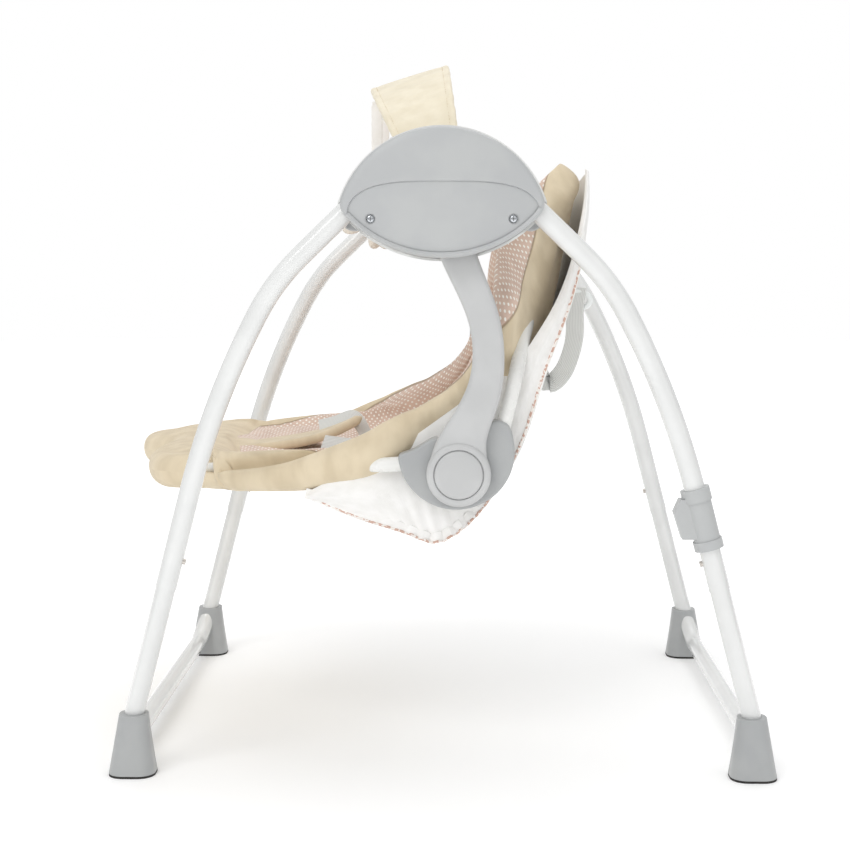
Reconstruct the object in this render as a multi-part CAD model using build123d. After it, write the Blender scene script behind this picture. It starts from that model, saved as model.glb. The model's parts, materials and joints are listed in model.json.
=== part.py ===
from build123d import *
import math
import os

# Portable electric baby swing. Millimetres. +X is the head end, +Y the baby's right, +Z up.
# Lengths along X below count from the swing's pivot line. MID_X moves that line so that the
# origin is the middle of the floor area.
MID_X = 9.0

# Leg frame
LEG_Y = 262.0  # middle plane of each pair of legs
TUBE_R = 11.1
TUBE_BORE_R = 9.6
BASE_R = 10.5  # the base tube is a little thinner than the upper tubes
SPIGOT_R = 9.5
SPIGOT_LENGTH = 42.0
LEAN = 14.8  # degrees from upright, lower legs
JOINT_X = 293.4  # where the upper tube meets the base tube
JOINT_Z = 203.0
LOWER_STRAIGHT = 104.0
GENTLE_BEND_R = 883.0
GENTLE_BEND = 13.2
TIGHT_BEND_R = 242.0
TIGHT_BEND = 18.0
TOP_STRAIGHT = 98.0
PIVOT_PAST_END = 12.0
BASE_Z = 26.0
BASE_CORNER_R = 55.0
LEG_PIN_R = 4.0
RUNNING = 0.04  # radial gap of a pin that turns
GAP = 0.3  # gap between parts that move past each other
FOLD = 24.0  # degrees that each pair of legs folds inwards

# Feet
FOOT_X = 332.0
FOOT_HEIGHT = 66.0
FOOT_LENGTH = 50.0
FOOT_WIDTH = 44.0
FOOT_TOP = 31.0
SOLE = 2.5
SNAP_R = 3.0
SNAP_RISE = 32.0  # up the tube from the joint
SNAP_TRAVEL = 3.0

# Housings
TOP_ARC_R = 114.0
TOP_ARC_Z = 573.8
LOW_ARC_R = 138.7
LOW_ARC_Z = 686.7
TIP_R = 16.0
SHELL_Y = 224.0  # inner face
SEAM_Y = 256.0
DOME_Y = 292.0  # highest point of the domed cover
DOME_R = 300.0
DOME_Z = 612.0
COVER_INSET = 3.0
WALL = 2.5
PIVOT_Z = 610.0
AXLE_R = 6.0
BUSH_R = 9.0
SCREW_X = 73.0
SCREW_Z = 591.0
SCREW_R = 3.4

# Swing arms and seat brackets
ARM_Y = 250.0
ARM_THICK = 13.0
ARM_BOSS_R = 16.0
HUB_X = 17.7
HUB_Z = 324.7
HUB_R = 34.0
HUB_CAP_R = 25.0
HUB_BOLT_R = 5.0
BRACKET_Y = 228.0
BRACKET_THICK = 21.0
BRACKET_X = 15.0
BRACKET_Z = 347.0
BRACKET_R = 62.0
SEAT_TUBE_R = 8.0
SEAT_TUBE_BORE_R = 6.8
SEAT_TUBE_Y = 238.5
RECLINE_X = 62.0
RECLINE_Z = 361.0
RECLINE = 40.0
RECLINE_PIN_R = 3.0
BACK_LEAN = 13.4
BACK_LENGTH = 286.0
BACK_END = 6.0  # the back tube runs this far below its pin
SEAT_TUBE_Z = 335.0
SEAT_SLOPE = 3.5
SEAT_TUBE_END_X = -325.0

# Toy bar
BAR_Z = 625.0
BAR_TILT = 17.0
BAR_HALF_SPAN = 214.0
BAR_RISE = 140.0
BAR_FOOT_WIDTH = 50.0
BAR_CROWN_WIDTH = 98.0
SLEEVE_THICK = 9.0
STRIP_THICK = 2.4
STRIP_WIDTH = 28.0
BAR_PIN_R = 3.0
TOY_SPACING = 92.0
RIBBON = 76.0
TOY_R = 46.0
TOY_THICK = 26.0


def save(name, shape):
    placed = Pos(MID_X, 0, 0) * shape
    placed.label = name
    export_step(placed, f"parts/{name}.step")


def slab(face, y0, y1):
    """A face drawn in x and z, from y0 to y1."""
    return Pos(0, y1, 0) * extrude(Plane.XZ * face, amount=y1 - y0, dir=(0, -1, 0))


def rod(x, z, radius, y0, y1):
    """A round bar along Y."""
    return slab(Pos(x, z) * Circle(radius), y0, y1)


def left(shape):
    return mirror(shape, about=Plane.XZ)


def rear(shape):
    """The head-end copy of a foot-end piece."""
    return mirror(shape, about=Plane.YZ)


def band(points, thick):
    """A strip of even thickness above a smooth line."""
    line = Spline(*points)
    upper = Spline(*[(x, z + thick) for x, z in points])
    ends = [Line(line @ 0, upper @ 0), Line(line @ 1, upper @ 1)]
    return make_face([line, upper] + ends)


def swept(path, outer, bore=0.0):
    ring = Circle(outer) - Circle(bore) if bore else Circle(outer)
    section = Plane(origin=path @ 0, z_dir=path % 0) * ring
    return sweep(section, path=path)


# ---------------------------------------------------------------- legs


def lean_direction():
    angle = math.radians(LEAN)
    return math.sin(angle), math.cos(angle)


def leg_line():
    """Centre line of a foot-end upper tube, drawn in x and z, from the joint upwards."""
    sine, cosine = lean_direction()
    start = (-JOINT_X, JOINT_Z)
    first = Line(start, (start[0] + LOWER_STRAIGHT * sine, start[1] + LOWER_STRAIGHT * cosine))
    gentle = JernArc(first @ 1, first % 1, GENTLE_BEND_R, -GENTLE_BEND)
    tight = JernArc(gentle @ 1, gentle % 1, TIGHT_BEND_R, -TIGHT_BEND)
    last = Line(tight @ 1, (tight @ 1) + (tight % 1) * TOP_STRAIGHT)
    return Curve() + [first, gentle, tight, last]


def leg_pivot():
    """Where a foot-end leg pivots in its housing, as x and z."""
    line = leg_line()
    end = line @ 1
    away = (line % 1) * PIVOT_PAST_END
    return end.X - away.X, end.Y - away.Y


def snap_place():
    """Middle of a foot-end snap button on the tube's centre line, as x and z."""
    sine, cosine = lean_direction()
    return -JOINT_X + SNAP_RISE * sine, JOINT_Z + SNAP_RISE * cosine


def snap_rod(radius, start, end):
    """A round bar across a foot-end tube, towards the frame's middle."""
    x, z = snap_place()
    sine, cosine = lean_direction()
    inward = Vector(cosine, 0, -sine)
    base = Vector(x, LEG_Y, z) + inward * start
    return extrude(Plane(origin=base, z_dir=inward) * Circle(radius), amount=end - start)


def upper_tube():
    line = Wire(leg_line().edges())
    path = Pos(0, LEG_Y, 0) * (Plane.XZ * line)
    body = swept(path, TUBE_R, TUBE_BORE_R)
    x, z = leg_pivot()
    body -= rod(x, z, LEG_PIN_R + RUNNING, LEG_Y - 20, LEG_Y + 20)
    return body - snap_rod(SNAP_R + RUNNING, 0, TUBE_R + 2)


def base_path():
    sine, cosine = lean_direction()
    drop = (JOINT_Z - BASE_Z) / cosine
    top = (-JOINT_X, JOINT_Z)
    corner = (top[0] - drop * sine, BASE_Z)
    points = [
        (top[0], LEG_Y, top[1]),
        (corner[0], LEG_Y, corner[1]),
        (corner[0], -LEG_Y, corner[1]),
        (top[0], -LEG_Y, top[1]),
    ]
    return FilletPolyline(*points, radius=BASE_CORNER_R)


def spigot():
    sine, cosine = lean_direction()
    up = Vector(sine, 0, cosine)
    base = Vector(-JOINT_X, LEG_Y, JOINT_Z)
    ring = Circle(SPIGOT_R) - Circle(SPIGOT_R - 1.3)
    body = extrude(Plane(origin=base, z_dir=up) * ring, amount=SPIGOT_LENGTH)
    return body - snap_rod(SNAP_R + RUNNING, 0, TUBE_R)


def base_tube():
    body = swept(base_path(), BASE_R, SPIGOT_R - 1.3)
    for piece in (spigot(), left(spigot())):
        body += piece
    return body


def foot_section(length, width, corner, x, z):
    return Pos(x, LEG_Y, z) * RectangleRounded(length, width, corner)


def foot():
    low = foot_section(FOOT_LENGTH, FOOT_WIDTH, 17, -FOOT_X, SOLE)
    waist = foot_section(43, 39, 16, -FOOT_X + 0.5, SOLE + 22)
    high = foot_section(FOOT_TOP, FOOT_TOP, 14, -FOOT_X + 2, FOOT_HEIGHT)
    body = loft([low, waist, high])
    return body - swept(base_path(), BASE_R + 0.1)


def foot_pads():
    sole = extrude(foot_section(FOOT_LENGTH, FOOT_WIDTH, 17, -FOOT_X, 0), amount=SOLE)
    return [sole, left(sole)]


def snap_button():
    return snap_rod(SNAP_R, SPIGOT_R - 5, TUBE_R + 2.8)


def leg_clip():
    """Clip on a rear leg: two rings round the tube, a sleeve and a snout on the inner side."""
    line = rear(Pos(0, LEG_Y, 0) * (Plane.XZ * Wire(leg_line().edges())))
    sine, cosine = lean_direction()
    body = None
    for start, length, radius in ((46, 10, 15.5), (98, 14, 15.5), (50, 56, 14.0)):
        base = Vector(JOINT_X - start * sine, LEG_Y, JOINT_Z + start * cosine)
        ring = Plane(origin=base, z_dir=(-sine, 0, cosine)) * Circle(radius)
        piece = extrude(ring, amount=length)
        body = piece if body is None else body + piece
    web = Polyline((276, 258), (252, 258), (243, 286), (249, 300), (268, 300), close=True)
    body += slab(make_face(web), LEG_Y - 9, LEG_Y + 9)
    return left(body - swept(line, TUBE_R + 0.05))


# ---------------------------------------------------------------- housings


def lens(inset):
    """The housing's outline: a high arch over a shallow one, with rounded tips."""
    high = Pos(0, TOP_ARC_Z) * Circle(TOP_ARC_R - inset)
    low = Pos(0, LOW_ARC_Z) * Circle(LOW_ARC_R - inset)
    shape = high & low
    return fillet(shape.vertices(), TIP_R - min(inset, 6))


def leg_slot():
    """The space a leg sweeps in the housing between open and folded, foot end."""
    x, z = leg_pivot()
    wide = TUBE_R + 1.0
    reach = 75.0
    shape = Pos(x, z) * Circle(wide + 4.6)
    open_angle = 180 + LEAN + GENTLE_BEND + TIGHT_BEND
    steps = 4
    for step in range(steps + 1):
        turn = 90 - open_angle + FOLD * step / steps
        leg = Pos(x, z) * Rot(0, 0, turn) * Pos(reach / 2, 0) * Rectangle(reach, 2 * wide)
        shape += leg
    return slab(shape, LEG_Y - TUBE_R - 0.9, LEG_Y + TUBE_R + 1.6)


def arm_slot():
    shape = Polyline((-30, 620), (-22, 540), (66, 540), (30, 620), close=True)
    return slab(make_face(shape), ARM_Y - 1.0, ARM_Y + ARM_THICK + 1.0)


def slots():
    return [leg_slot(), rear(leg_slot()), arm_slot()]


def domed(inset, drop):
    """The covered volume outboard of the seam, under the dome."""
    block = slab(lens(inset), SEAM_Y, DOME_Y)
    ball = Pos(0, DOME_Y - DOME_R, DOME_Z) * Sphere(DOME_R - drop)
    return block & ball


def cover():
    body = domed(COVER_INSET, 0) - domed(COVER_INSET + WALL, WALL)
    for sign in (-1, 1):
        post = rod(sign * SCREW_X, SCREW_Z - 12, 5.0, SEAM_Y, 279)
        body += post & domed(COVER_INSET, 1)
        body -= rod(sign * SCREW_X, SCREW_Z - 12, 1.6, SEAM_Y - 1, 276)
        body -= rod(sign * SCREW_X, SCREW_Z, 4.6, 274, DOME_Y)
    for piece in slots():
        body -= piece
    x, z = leg_pivot()
    for sign in (-1, 1):
        body -= rod(sign * x, z, 7.2, LEG_Y, LEG_Y + TUBE_R + 3.2)
    return body


def back_shell():
    body = slab(lens(0), SHELL_Y, SEAM_Y) - slab(lens(WALL), SHELL_Y + WALL, SEAM_Y + 1)
    body += rod(0, PIVOT_Z, 11, SHELL_Y + 1, ARM_Y - 1.5)
    body -= rod(0, PIVOT_Z, AXLE_R, SHELL_Y + 1, SEAM_Y)
    x, z = leg_pivot()
    for sign in (-1, 1):
        body += rod(sign * x, z, 8.5, SHELL_Y + 1, LEG_Y - TUBE_R - 1.0)
        body -= rod(sign * x, z, LEG_PIN_R, SHELL_Y + 1, SEAM_Y)
    body -= rod(0, BAR_Z, BAR_PIN_R + RUNNING, SHELL_Y - 1, SHELL_Y + 8)
    for piece in slots():
        body -= piece
    return body


def pivot_axle():
    head = rod(0, PIVOT_Z, 8.5, ARM_Y + ARM_THICK + 0.4, ARM_Y + ARM_THICK + 3)
    return head + rod(0, PIVOT_Z, AXLE_R, SHELL_Y + 1, ARM_Y + ARM_THICK + 0.4)


def leg_pins():
    x, z = leg_pivot()
    top = LEG_Y + TUBE_R + 1.0
    pins = []
    for sign in (-1, 1):
        pin = rod(sign * x, z, LEG_PIN_R, SHELL_Y + 1, top) + rod(sign * x, z, 6.5, top, top + 1.6)
        pins += [pin, left(pin)]
    return pins


def cover_screws():
    screws = []
    for sign in (-1, 1):
        screw = rod(sign * SCREW_X, SCREW_Z, SCREW_R, 274.2, 277.5)
        slot = Pos(sign * SCREW_X, 278, SCREW_Z) * Box(5.2, 2.4, 0.9)
        cross = Pos(sign * SCREW_X, 278, SCREW_Z) * Box(0.9, 2.4, 5.2)
        screw -= slot + cross
        screws += [screw, left(screw)]
    return screws


def door_box(gap):
    return Pos(0, DOME_Y - 10, 646) * Box(112 + 2 * gap, 60, 34 + 2 * gap)


def battery_door():
    return (domed(COVER_INSET, 0) - domed(COVER_INSET + WALL, WALL)) & door_box(0)


def battery_tray():
    body = Pos(0, 250.5, 646) * Box(106, 47, 30)
    for y in (240.5, 267.2):
        body -= Pos(0, y, 646) * Rot(0, 90, 0) * Cylinder(13.3, 102)
    return body - Pos(0, 272, 646) * Box(102, 12, 27)


def battery_cells():
    cells = []
    for x in (-25.4, 25.4):
        for y in (240.5, 267.2):
            can = Pos(x, y, 646) * Rot(0, 90, 0) * Cylinder(13.1, 48)
            tip = Pos(x + 24.7, y, 646) * Rot(0, 90, 0) * Cylinder(3, 1.6)
            cells.append(can + tip)
    return cells


BUTTON_X = {"power_button": -16.0, "speed_button": 10.0, "music_button": 36.0}
BUTTON_Z = 582.0
BUTTON_R = 7.0
BUTTON_TRAVEL = 1.2


def panel_button(x):
    cap = rod(x, BUTTON_Z, BUTTON_R, 283.0, 292.5)
    stem = rod(x, BUTTON_Z, 3.0, 272.2, 283.0)
    flange = rod(x, BUTTON_Z, BUTTON_R + 1.5, 283.0, 284.6)
    return cap + stem + flange


def right_cover():
    body = cover() - door_box(GAP)
    for x in BUTTON_X.values():
        body -= rod(x, BUTTON_Z, BUTTON_R + RUNNING, 286, DOME_Y + 1)
        body -= rod(x, BUTTON_Z, BUTTON_R + 2.0, 280, 286.4)
    for step in range(5):
        body -= Pos(-46, DOME_Y - 8, 598 + 6 * step) * Box(22, 30, 2.4)
    return body


def circuit_board():
    return slab(Pos(12, 583) * RectangleRounded(84, 36, 3), 269.0, 270.6)


def speaker():
    basket = rod(-46, 610, 14, 268, 276)
    return basket - rod(-46, 610, 11, 272, 277) + rod(-46, 610, 4, 271, 275)


def drive_coil():
    coil = rod(22, 574, 16, SHELL_Y + WALL, ARM_Y - 8)
    return coil - rod(22, 574, 5, SHELL_Y + WALL, ARM_Y - 7)


def drive_magnet():
    return rod(22, 574, 12, ARM_Y - 5, ARM_Y)


# ---------------------------------------------------------------- swing arms


def arm():
    inner = Spline((-14, 604), (2, 546), (22, 507), (32, 457), (22, 396), (-4, 357))
    outer = Spline((15, 606), (42, 537), (59, 493), (65, 451), (59, 407), (44, 366))
    blade = make_face([inner, outer, Line(inner @ 0, outer @ 0), Line(inner @ 1, outer @ 1)])
    shape = blade + Pos(0, PIVOT_Z) * Circle(ARM_BOSS_R) + Pos(HUB_X, HUB_Z) * Circle(HUB_R)
    shape += make_face(Polyline((-4, 357), (44, 366), (50, 332), (-14, 332), close=True))
    body = slab(shape, ARM_Y, ARM_Y + ARM_THICK)
    body += rod(HUB_X, HUB_Z, HUB_R - 2, ARM_Y + ARM_THICK, ARM_Y + ARM_THICK + 3)
    body -= rod(HUB_X, HUB_Z, HUB_CAP_R + 1.2, ARM_Y + ARM_THICK, ARM_Y + ARM_THICK + 4)
    body -= rod(HUB_X, HUB_Z, HUB_BOLT_R, ARM_Y - 1, ARM_Y + ARM_THICK + 1)
    return body - rod(0, PIVOT_Z, BUSH_R, ARM_Y - 1, ARM_Y + ARM_THICK + 1)


def arm_bush():
    tube = rod(0, PIVOT_Z, BUSH_R, ARM_Y - 0.8, ARM_Y + ARM_THICK)
    return tube - rod(0, PIVOT_Z, AXLE_R + RUNNING, ARM_Y - 2, ARM_Y + ARM_THICK + 1)


def hub_cap():
    top = ARM_Y + ARM_THICK
    cap = rod(HUB_X, HUB_Z, HUB_CAP_R, top, top + 7)
    return fillet(cap.edges().sort_by(Axis.Y)[-1], 3.5)


def bracket_outline():
    circle = Pos(BRACKET_X, BRACKET_Z) * Circle(BRACKET_R)
    below = Polyline((-60, 345), (-46, 346), (5, 365), (20, 352), (40, 352), (48, 378),
                     (68, 380), (90, 360), (90, 270), (-60, 270), close=True)
    return circle & make_face(below)


def recline_slot():
    """The space that the back tube's end turns in."""
    wide = SEAT_TUBE_R + 0.5
    shape = Pos(RECLINE_X, RECLINE_Z) * Circle(wide + 2.6)
    for turn in (BACK_LEAN, BACK_LEAN + 14, BACK_LEAN + 27, BACK_LEAN + RECLINE):
        shape += Pos(RECLINE_X, RECLINE_Z) * Rot(0, 0, -turn) * Pos(0, 20) * Rectangle(2 * wide, 40)
    return slab(shape, SEAT_TUBE_Y - wide, SEAT_TUBE_Y + wide)


def seat_bracket():
    body = slab(bracket_outline(), BRACKET_Y, BRACKET_Y + BRACKET_THICK)
    body -= recline_slot()
    body -= swept(seat_path(), SEAT_TUBE_R + 0.02)
    body -= rod(RECLINE_X, RECLINE_Z, RECLINE_PIN_R, BRACKET_Y - 1, BRACKET_Y + 30)
    return body - rod(HUB_X, HUB_Z, HUB_BOLT_R, BRACKET_Y + 4, BRACKET_Y + 30)


def bracket_pins():
    bolt = rod(HUB_X, HUB_Z, HUB_BOLT_R, BRACKET_Y + 4, ARM_Y + ARM_THICK)
    pin = rod(RECLINE_X, RECLINE_Z, RECLINE_PIN_R, BRACKET_Y, BRACKET_Y + BRACKET_THICK)
    return [bolt, left(bolt), pin, left(pin)]


# ---------------------------------------------------------------- seat


def seat_path():
    """U of the seat tube: out of the brackets, in towards the feet, and across."""
    slope = math.tan(math.radians(SEAT_SLOPE))
    plan = [(-12, SEAT_TUBE_Y), (-62, SEAT_TUBE_Y), (-170, 178), (SEAT_TUBE_END_X, 148)]
    corners = plan + [(x, -y) for x, y in reversed(plan)]
    points = [(x, y, SEAT_TUBE_Z + (x + 12) * slope) for x, y in corners]
    return FilletPolyline(*points, radius=[45, 90, 70, 70, 90, 45])


def back_path():
    """U of the back tube, drawn up the leaning plane from the recline pins."""
    plan = [(SEAT_TUBE_Y, -BACK_END), (SEAT_TUBE_Y, 60), (182, 140), (160, BACK_LENGTH)]
    corners = plan + [(-y, h) for y, h in reversed(plan)]
    angle = math.radians(BACK_LEAN)
    points = []
    for y, h in corners:
        points.append((RECLINE_X + h * math.sin(angle), y, RECLINE_Z + h * math.cos(angle)))
    return FilletPolyline(*points, radius=[45, 70, 60, 60, 70, 45])


def back_tube():
    body = swept(back_path(), SEAT_TUBE_R, SEAT_TUBE_BORE_R)
    return body - rod(RECLINE_X, RECLINE_Z, RECLINE_PIN_R + RUNNING, -300, 300)


def pad_plan():
    """The lower pad from above: two foot lobes, wider towards the hips."""
    half = [(50, 216), (-46, 216), (-72, 234), (-110, 224), (-170, 204), (-250, 184)]
    near = [(x, -y) for x, y in half]
    rim = Polyline(*half)
    lobe = ThreePointArc(half[-1], (-348, 100), (-338, 0))
    other = ThreePointArc((-338, 0), (-372, -95), near[-1])
    back = Polyline(*reversed(near))
    close = Line(near[0], half[0])
    return make_face([rim, lobe, other, back, close])


def side_band():
    """Side view of the padded rim beside the legs and hips."""
    low = Spline((-150, 301), (-114, 305), (-77, 319), (-49, 341), (-19, 361), (22, 393))
    high = Spline((38, 440), (24, 421), (-3, 395), (-41, 376), (-97, 356), (-172, 336))
    front = Polyline((-172, 336), (-340, 334), (-376, 322), (-376, 312), (-340, 304), (-150, 301))
    return make_face([low, high, front, Line(low @ 1, high @ 0)])


def seat_sheet():
    """Side view of the padded sheet that is sat on, between the rims."""
    top = Spline((-172, 333), (-100, 306), (-30, 286), (15, 292), (40, 325), (46, 370))
    low = Spline((62, 370), (58, 326), (34, 284), (-6, 264), (-50, 270), (-150, 303))
    foot = Polyline((-172, 333), (-340, 332), (-378, 320), (-378, 314), (-340, 306), (-150, 303))
    return make_face([top, Line(top @ 1, low @ 0), low, foot])


def seat_pad():
    rim = slab(side_band(), -236, 236) - Pos(-160, 0, 360) * Box(500, 320, 300)
    sheet = slab(seat_sheet(), -162, 162)
    plan = Pos(0, 0, 250) * extrude(pad_plan(), amount=220, dir=(0, 0, 1))
    body = (rim + sheet) & plan
    return body - swept(seat_path(), SEAT_TUBE_R + 0.1)


def crotch_flap():
    """Padded tongue between the thighs, standing up from the foot end."""
    low = Spline((-250, 336.5), (-170, 337), (-130, 338), (-97, 350))
    high = Spline((-93, 358), (-125, 348), (-170, 343), (-250, 341))
    return slab(make_face([low, Line(low @ 1, high @ 0), high, Line(high @ 1, low @ 0)]), -26, 26)


def seat_sling():
    line = [(-143, 286), (-90, 268), (-35, 252), (0, 244), (34, 253), (62, 282), (78, 316)]
    return slab(band(line, 2.2), -219, 219)


def wing_outline():
    """Side view of the backrest's padded wings."""
    front = Spline((56, 436), (60, 494), (46, 540), (52, 592), (88, 634), (128, 660))
    rear_edge = Spline((150, 657), (152, 630), (141, 553), (121, 485), (72, 428))
    return make_face([front, Line(front @ 1, rear_edge @ 0), rear_edge, Line(rear_edge @ 1, front @ 0)])


def back_panel():
    """Side view of the padded panel behind the baby."""
    front = Spline((60, 380), (80, 430), (98, 500), (112, 580), (122, 655))
    rear_edge = Spline((150, 660), (141, 580), (124, 495), (98, 430), (74, 380))
    return make_face([front, Line(front @ 1, rear_edge @ 0), rear_edge, Line(rear_edge @ 1, front @ 0)])


def back_front_view():
    """The backrest from the front, drawn in y and z: round-shouldered, wider at the hips."""
    half = [(0, 664), (90, 662), (150, 642), (184, 570), (206, 500), (230, 436)]
    right_edge = Spline(*half)
    left_edge = Spline(*[(-y, z) for y, z in half])
    base = Polyline((230, 436), (202, 372), (-202, 372), (-230, 436))
    return make_face([right_edge, base, left_edge])


def back_pad():
    wings = slab(wing_outline(), -232, 232) - slab(Pos(60, 540) * Rectangle(300, 400), -150, 150)
    body = wings + slab(back_panel(), -160, 160)
    view = extrude(Plane.YZ * back_front_view(), amount=300, dir=(1, 0, 0))
    return (body & view) - swept(back_path(), SEAT_TUBE_R + 0.1)


def head_pillow():
    front = Spline((62, 560), (66, 592), (92, 628), (112, 636))
    panel_side = Line((112, 636), (104, 555))
    return slab(make_face([front, panel_side, Line((104, 555), front @ 0)]), -105, 105)


def waist_strap():
    strip = band([(-60, 335), (-35, 326), (0, 330), (30, 352)], 1.6)
    return slab(strip, 60, 160)


def crotch_strap():
    strip = band([(-150, 348), (-120, 355), (-98, 363), (-86, 360), (-78, 344), (-72, 325)], 1.6)
    return slab(strip, -16, 16)


def buckle():
    body = Pos(-52, 0, 318) * Box(40, 44, 12)
    return fillet(body.edges().filter_by(Axis.Z), 8)


def shoulder_strap():
    front = Spline((77, 432), (90, 480), (102, 545))
    rear_line = Spline((78.6, 431.5), (91.6, 479.5), (103.6, 544.6))
    face = make_face([front, rear_line, Line(front @ 0, rear_line @ 0), Line(front @ 1, rear_line @ 1)])
    return slab(face, 40, 65)


def strap_slide():
    body = Pos(158, 0, 512) * Rot(0, 10, 0) * Box(6, 34, 50)
    return body - Pos(158, 0, 512) * Rot(0, 10, 0) * Box(8, 26, 30)


def strap_loop():
    drop = FilletPolyline((160, 500), (157, 428), (134, 392), (124, 440), radius=[30, 16])
    strip = Plane.XZ * drop
    section = Plane(origin=strip @ 0, z_dir=strip % 0, x_dir=(0, 1, 0)) * Rectangle(25, 1.8)
    return sweep(section, path=strip)


# ---------------------------------------------------------------- toy bar


def arch(thick, width_low, width_high):
    """An arch over the seat, upright about the bar's pivot: rise along Z, flat in X."""
    mid_a = BAR_HALF_SPAN
    outer = Ellipse(mid_a + thick / 2, BAR_RISE + thick / 2)
    inner = Ellipse(mid_a - thick / 2, BAR_RISE - thick / 2)
    ring = (outer - inner) & Pos(0, 100) * Rectangle(600, 200)
    body = extrude(Plane.YZ * ring, amount=60, both=True)
    taper = Polyline((-width_low / 2, -1), (width_low / 2, -1), (width_high / 2, 160),
                     (-width_high / 2, 160), close=True)
    return body & slab(make_face(taper), -300, 300)


def tilted(shape):
    return Pos(0, 0, BAR_Z) * Rot(0, -BAR_TILT, 0) * shape


def bar_sleeve():
    body = arch(SLEEVE_THICK, BAR_FOOT_WIDTH, BAR_CROWN_WIDTH)
    body -= Box(100, 600, 38)
    return tilted(body - arch(STRIP_THICK + 0.1, STRIP_WIDTH + 0.2, STRIP_WIDTH + 0.2))


def bar_strip():
    body = arch(STRIP_THICK, STRIP_WIDTH, STRIP_WIDTH)
    return tilted(body)


def bar_end():
    disc = rod(0, BAR_Z, 17, BAR_HALF_SPAN + STRIP_THICK / 2, SHELL_Y - GAP)
    pin = rod(0, BAR_Z, BAR_PIN_R, SHELL_Y - 1, SHELL_Y + 6)
    return disc + pin


def toy_hook(y):
    """Where a toy's ribbon is sewn under the bar's foot-side edge, as x and z."""
    angle = math.radians(BAR_TILT)
    inner = BAR_RISE - SLEEVE_THICK / 2
    rise = inner * math.sqrt(1 - (y / (BAR_HALF_SPAN - SLEEVE_THICK / 2)) ** 2) - 3.0
    along = BAR_CROWN_WIDTH / 2 - 8
    x = -rise * math.sin(angle) - along * math.cos(angle)
    return x, BAR_Z + rise * math.cos(angle) - along * math.sin(angle)


def toy(y):
    """A round stuffed toy on a ribbon."""
    x, z = toy_hook(y)
    ribbon = Pos(x, y, z - RIBBON / 2) * Box(1.6, 12, RIBBON)
    middle = Pos(x, y, z - RIBBON - TOY_R + 2)
    return ribbon + middle * (Sphere(TOY_R) & Box(2 * TOY_R, TOY_THICK, 2 * TOY_R))


def main():
    os.makedirs("parts", exist_ok=True)
    pieces = {}
    sides = {"right": lambda shape: shape, "left": left}
    ends = {"front": lambda shape: shape, "rear": rear}
    for end_name, at_end in ends.items():
        for side_name, at_side in sides.items():
            place = f"{end_name}_{side_name}"
            pieces[f"{place}_upper_tube"] = at_end(at_side(upper_tube()))
            pieces[f"{place}_foot"] = at_end(at_side(foot()))
            pieces[f"{place}_snap_button"] = at_end(at_side(snap_button()))
        pieces[f"{end_name}_base_tube"] = at_end(base_tube())
        pieces[f"{end_name}_foot_pads"] = [at_end(pad) for pad in foot_pads()]
    pieces["leg_clip"] = leg_clip()
    pieces["left_cover"] = left(cover())
    pieces["right_cover"] = right_cover()
    for side_name, at_side in sides.items():
        pieces[f"{side_name}_back_shell"] = at_side(back_shell())
        pieces[f"{side_name}_arm"] = at_side(arm())
        pieces[f"{side_name}_seat_bracket"] = at_side(seat_bracket())
    pieces["pivot_axles"] = [pivot_axle(), left(pivot_axle())]
    pieces["arm_bushes"] = [arm_bush(), left(arm_bush())]
    pieces["hub_caps"] = [hub_cap(), left(hub_cap())]
    pieces["leg_pivot_pins"] = leg_pins()
    pieces["cover_screws"] = cover_screws()
    pieces["battery_door"] = battery_door()
    pieces["battery_tray"] = battery_tray()
    pieces["battery_cells"] = battery_cells()
    pieces["circuit_board"] = circuit_board()
    pieces["speaker"] = speaker()
    pieces["drive_coil"] = drive_coil()
    pieces["drive_magnet"] = drive_magnet()
    for name, x in BUTTON_X.items():
        pieces[name] = panel_button(x)
    pieces["bracket_pins"] = bracket_pins()
    pieces["seat_tube"] = swept(seat_path(), SEAT_TUBE_R, SEAT_TUBE_BORE_R)
    pieces["back_tube"] = back_tube()
    pieces["seat_pad"] = seat_pad()
    pieces["crotch_flap"] = crotch_flap()
    pieces["seat_sling"] = seat_sling()
    pieces["back_pad"] = back_pad()
    pieces["head_pillow"] = head_pillow()
    pieces["waist_straps"] = [waist_strap(), left(waist_strap())]
    pieces["crotch_strap"] = crotch_strap()
    pieces["harness_buckle"] = buckle()
    pieces["shoulder_straps"] = [shoulder_strap(), left(shoulder_strap())]
    pieces["strap_slide"] = strap_slide()
    pieces["strap_loop"] = strap_loop()
    pieces["toy_bar_sleeve"] = bar_sleeve()
    pieces["toy_bar_strip"] = bar_strip()
    pieces["toy_bar_ends"] = [bar_end(), left(bar_end())]
    for name, y in (("left_toy", -TOY_SPACING), ("middle_toy", 0.0), ("right_toy", TOY_SPACING)):
        pieces[name] = toy(y)
    for name, shape in pieces.items():
        save(name, Compound(shape) if isinstance(shape, list) else shape)


main()
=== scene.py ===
"""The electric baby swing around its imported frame: padding, fabric, straps and finishes.

Lengths are millimetres until place() turns them into scene metres. X counts from the swing's
pivot line towards the head end, Y runs across the swing and Z is up.
"""
import json
import math

import bmesh
import bpy
import numpy as np
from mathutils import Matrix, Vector, noise


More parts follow.
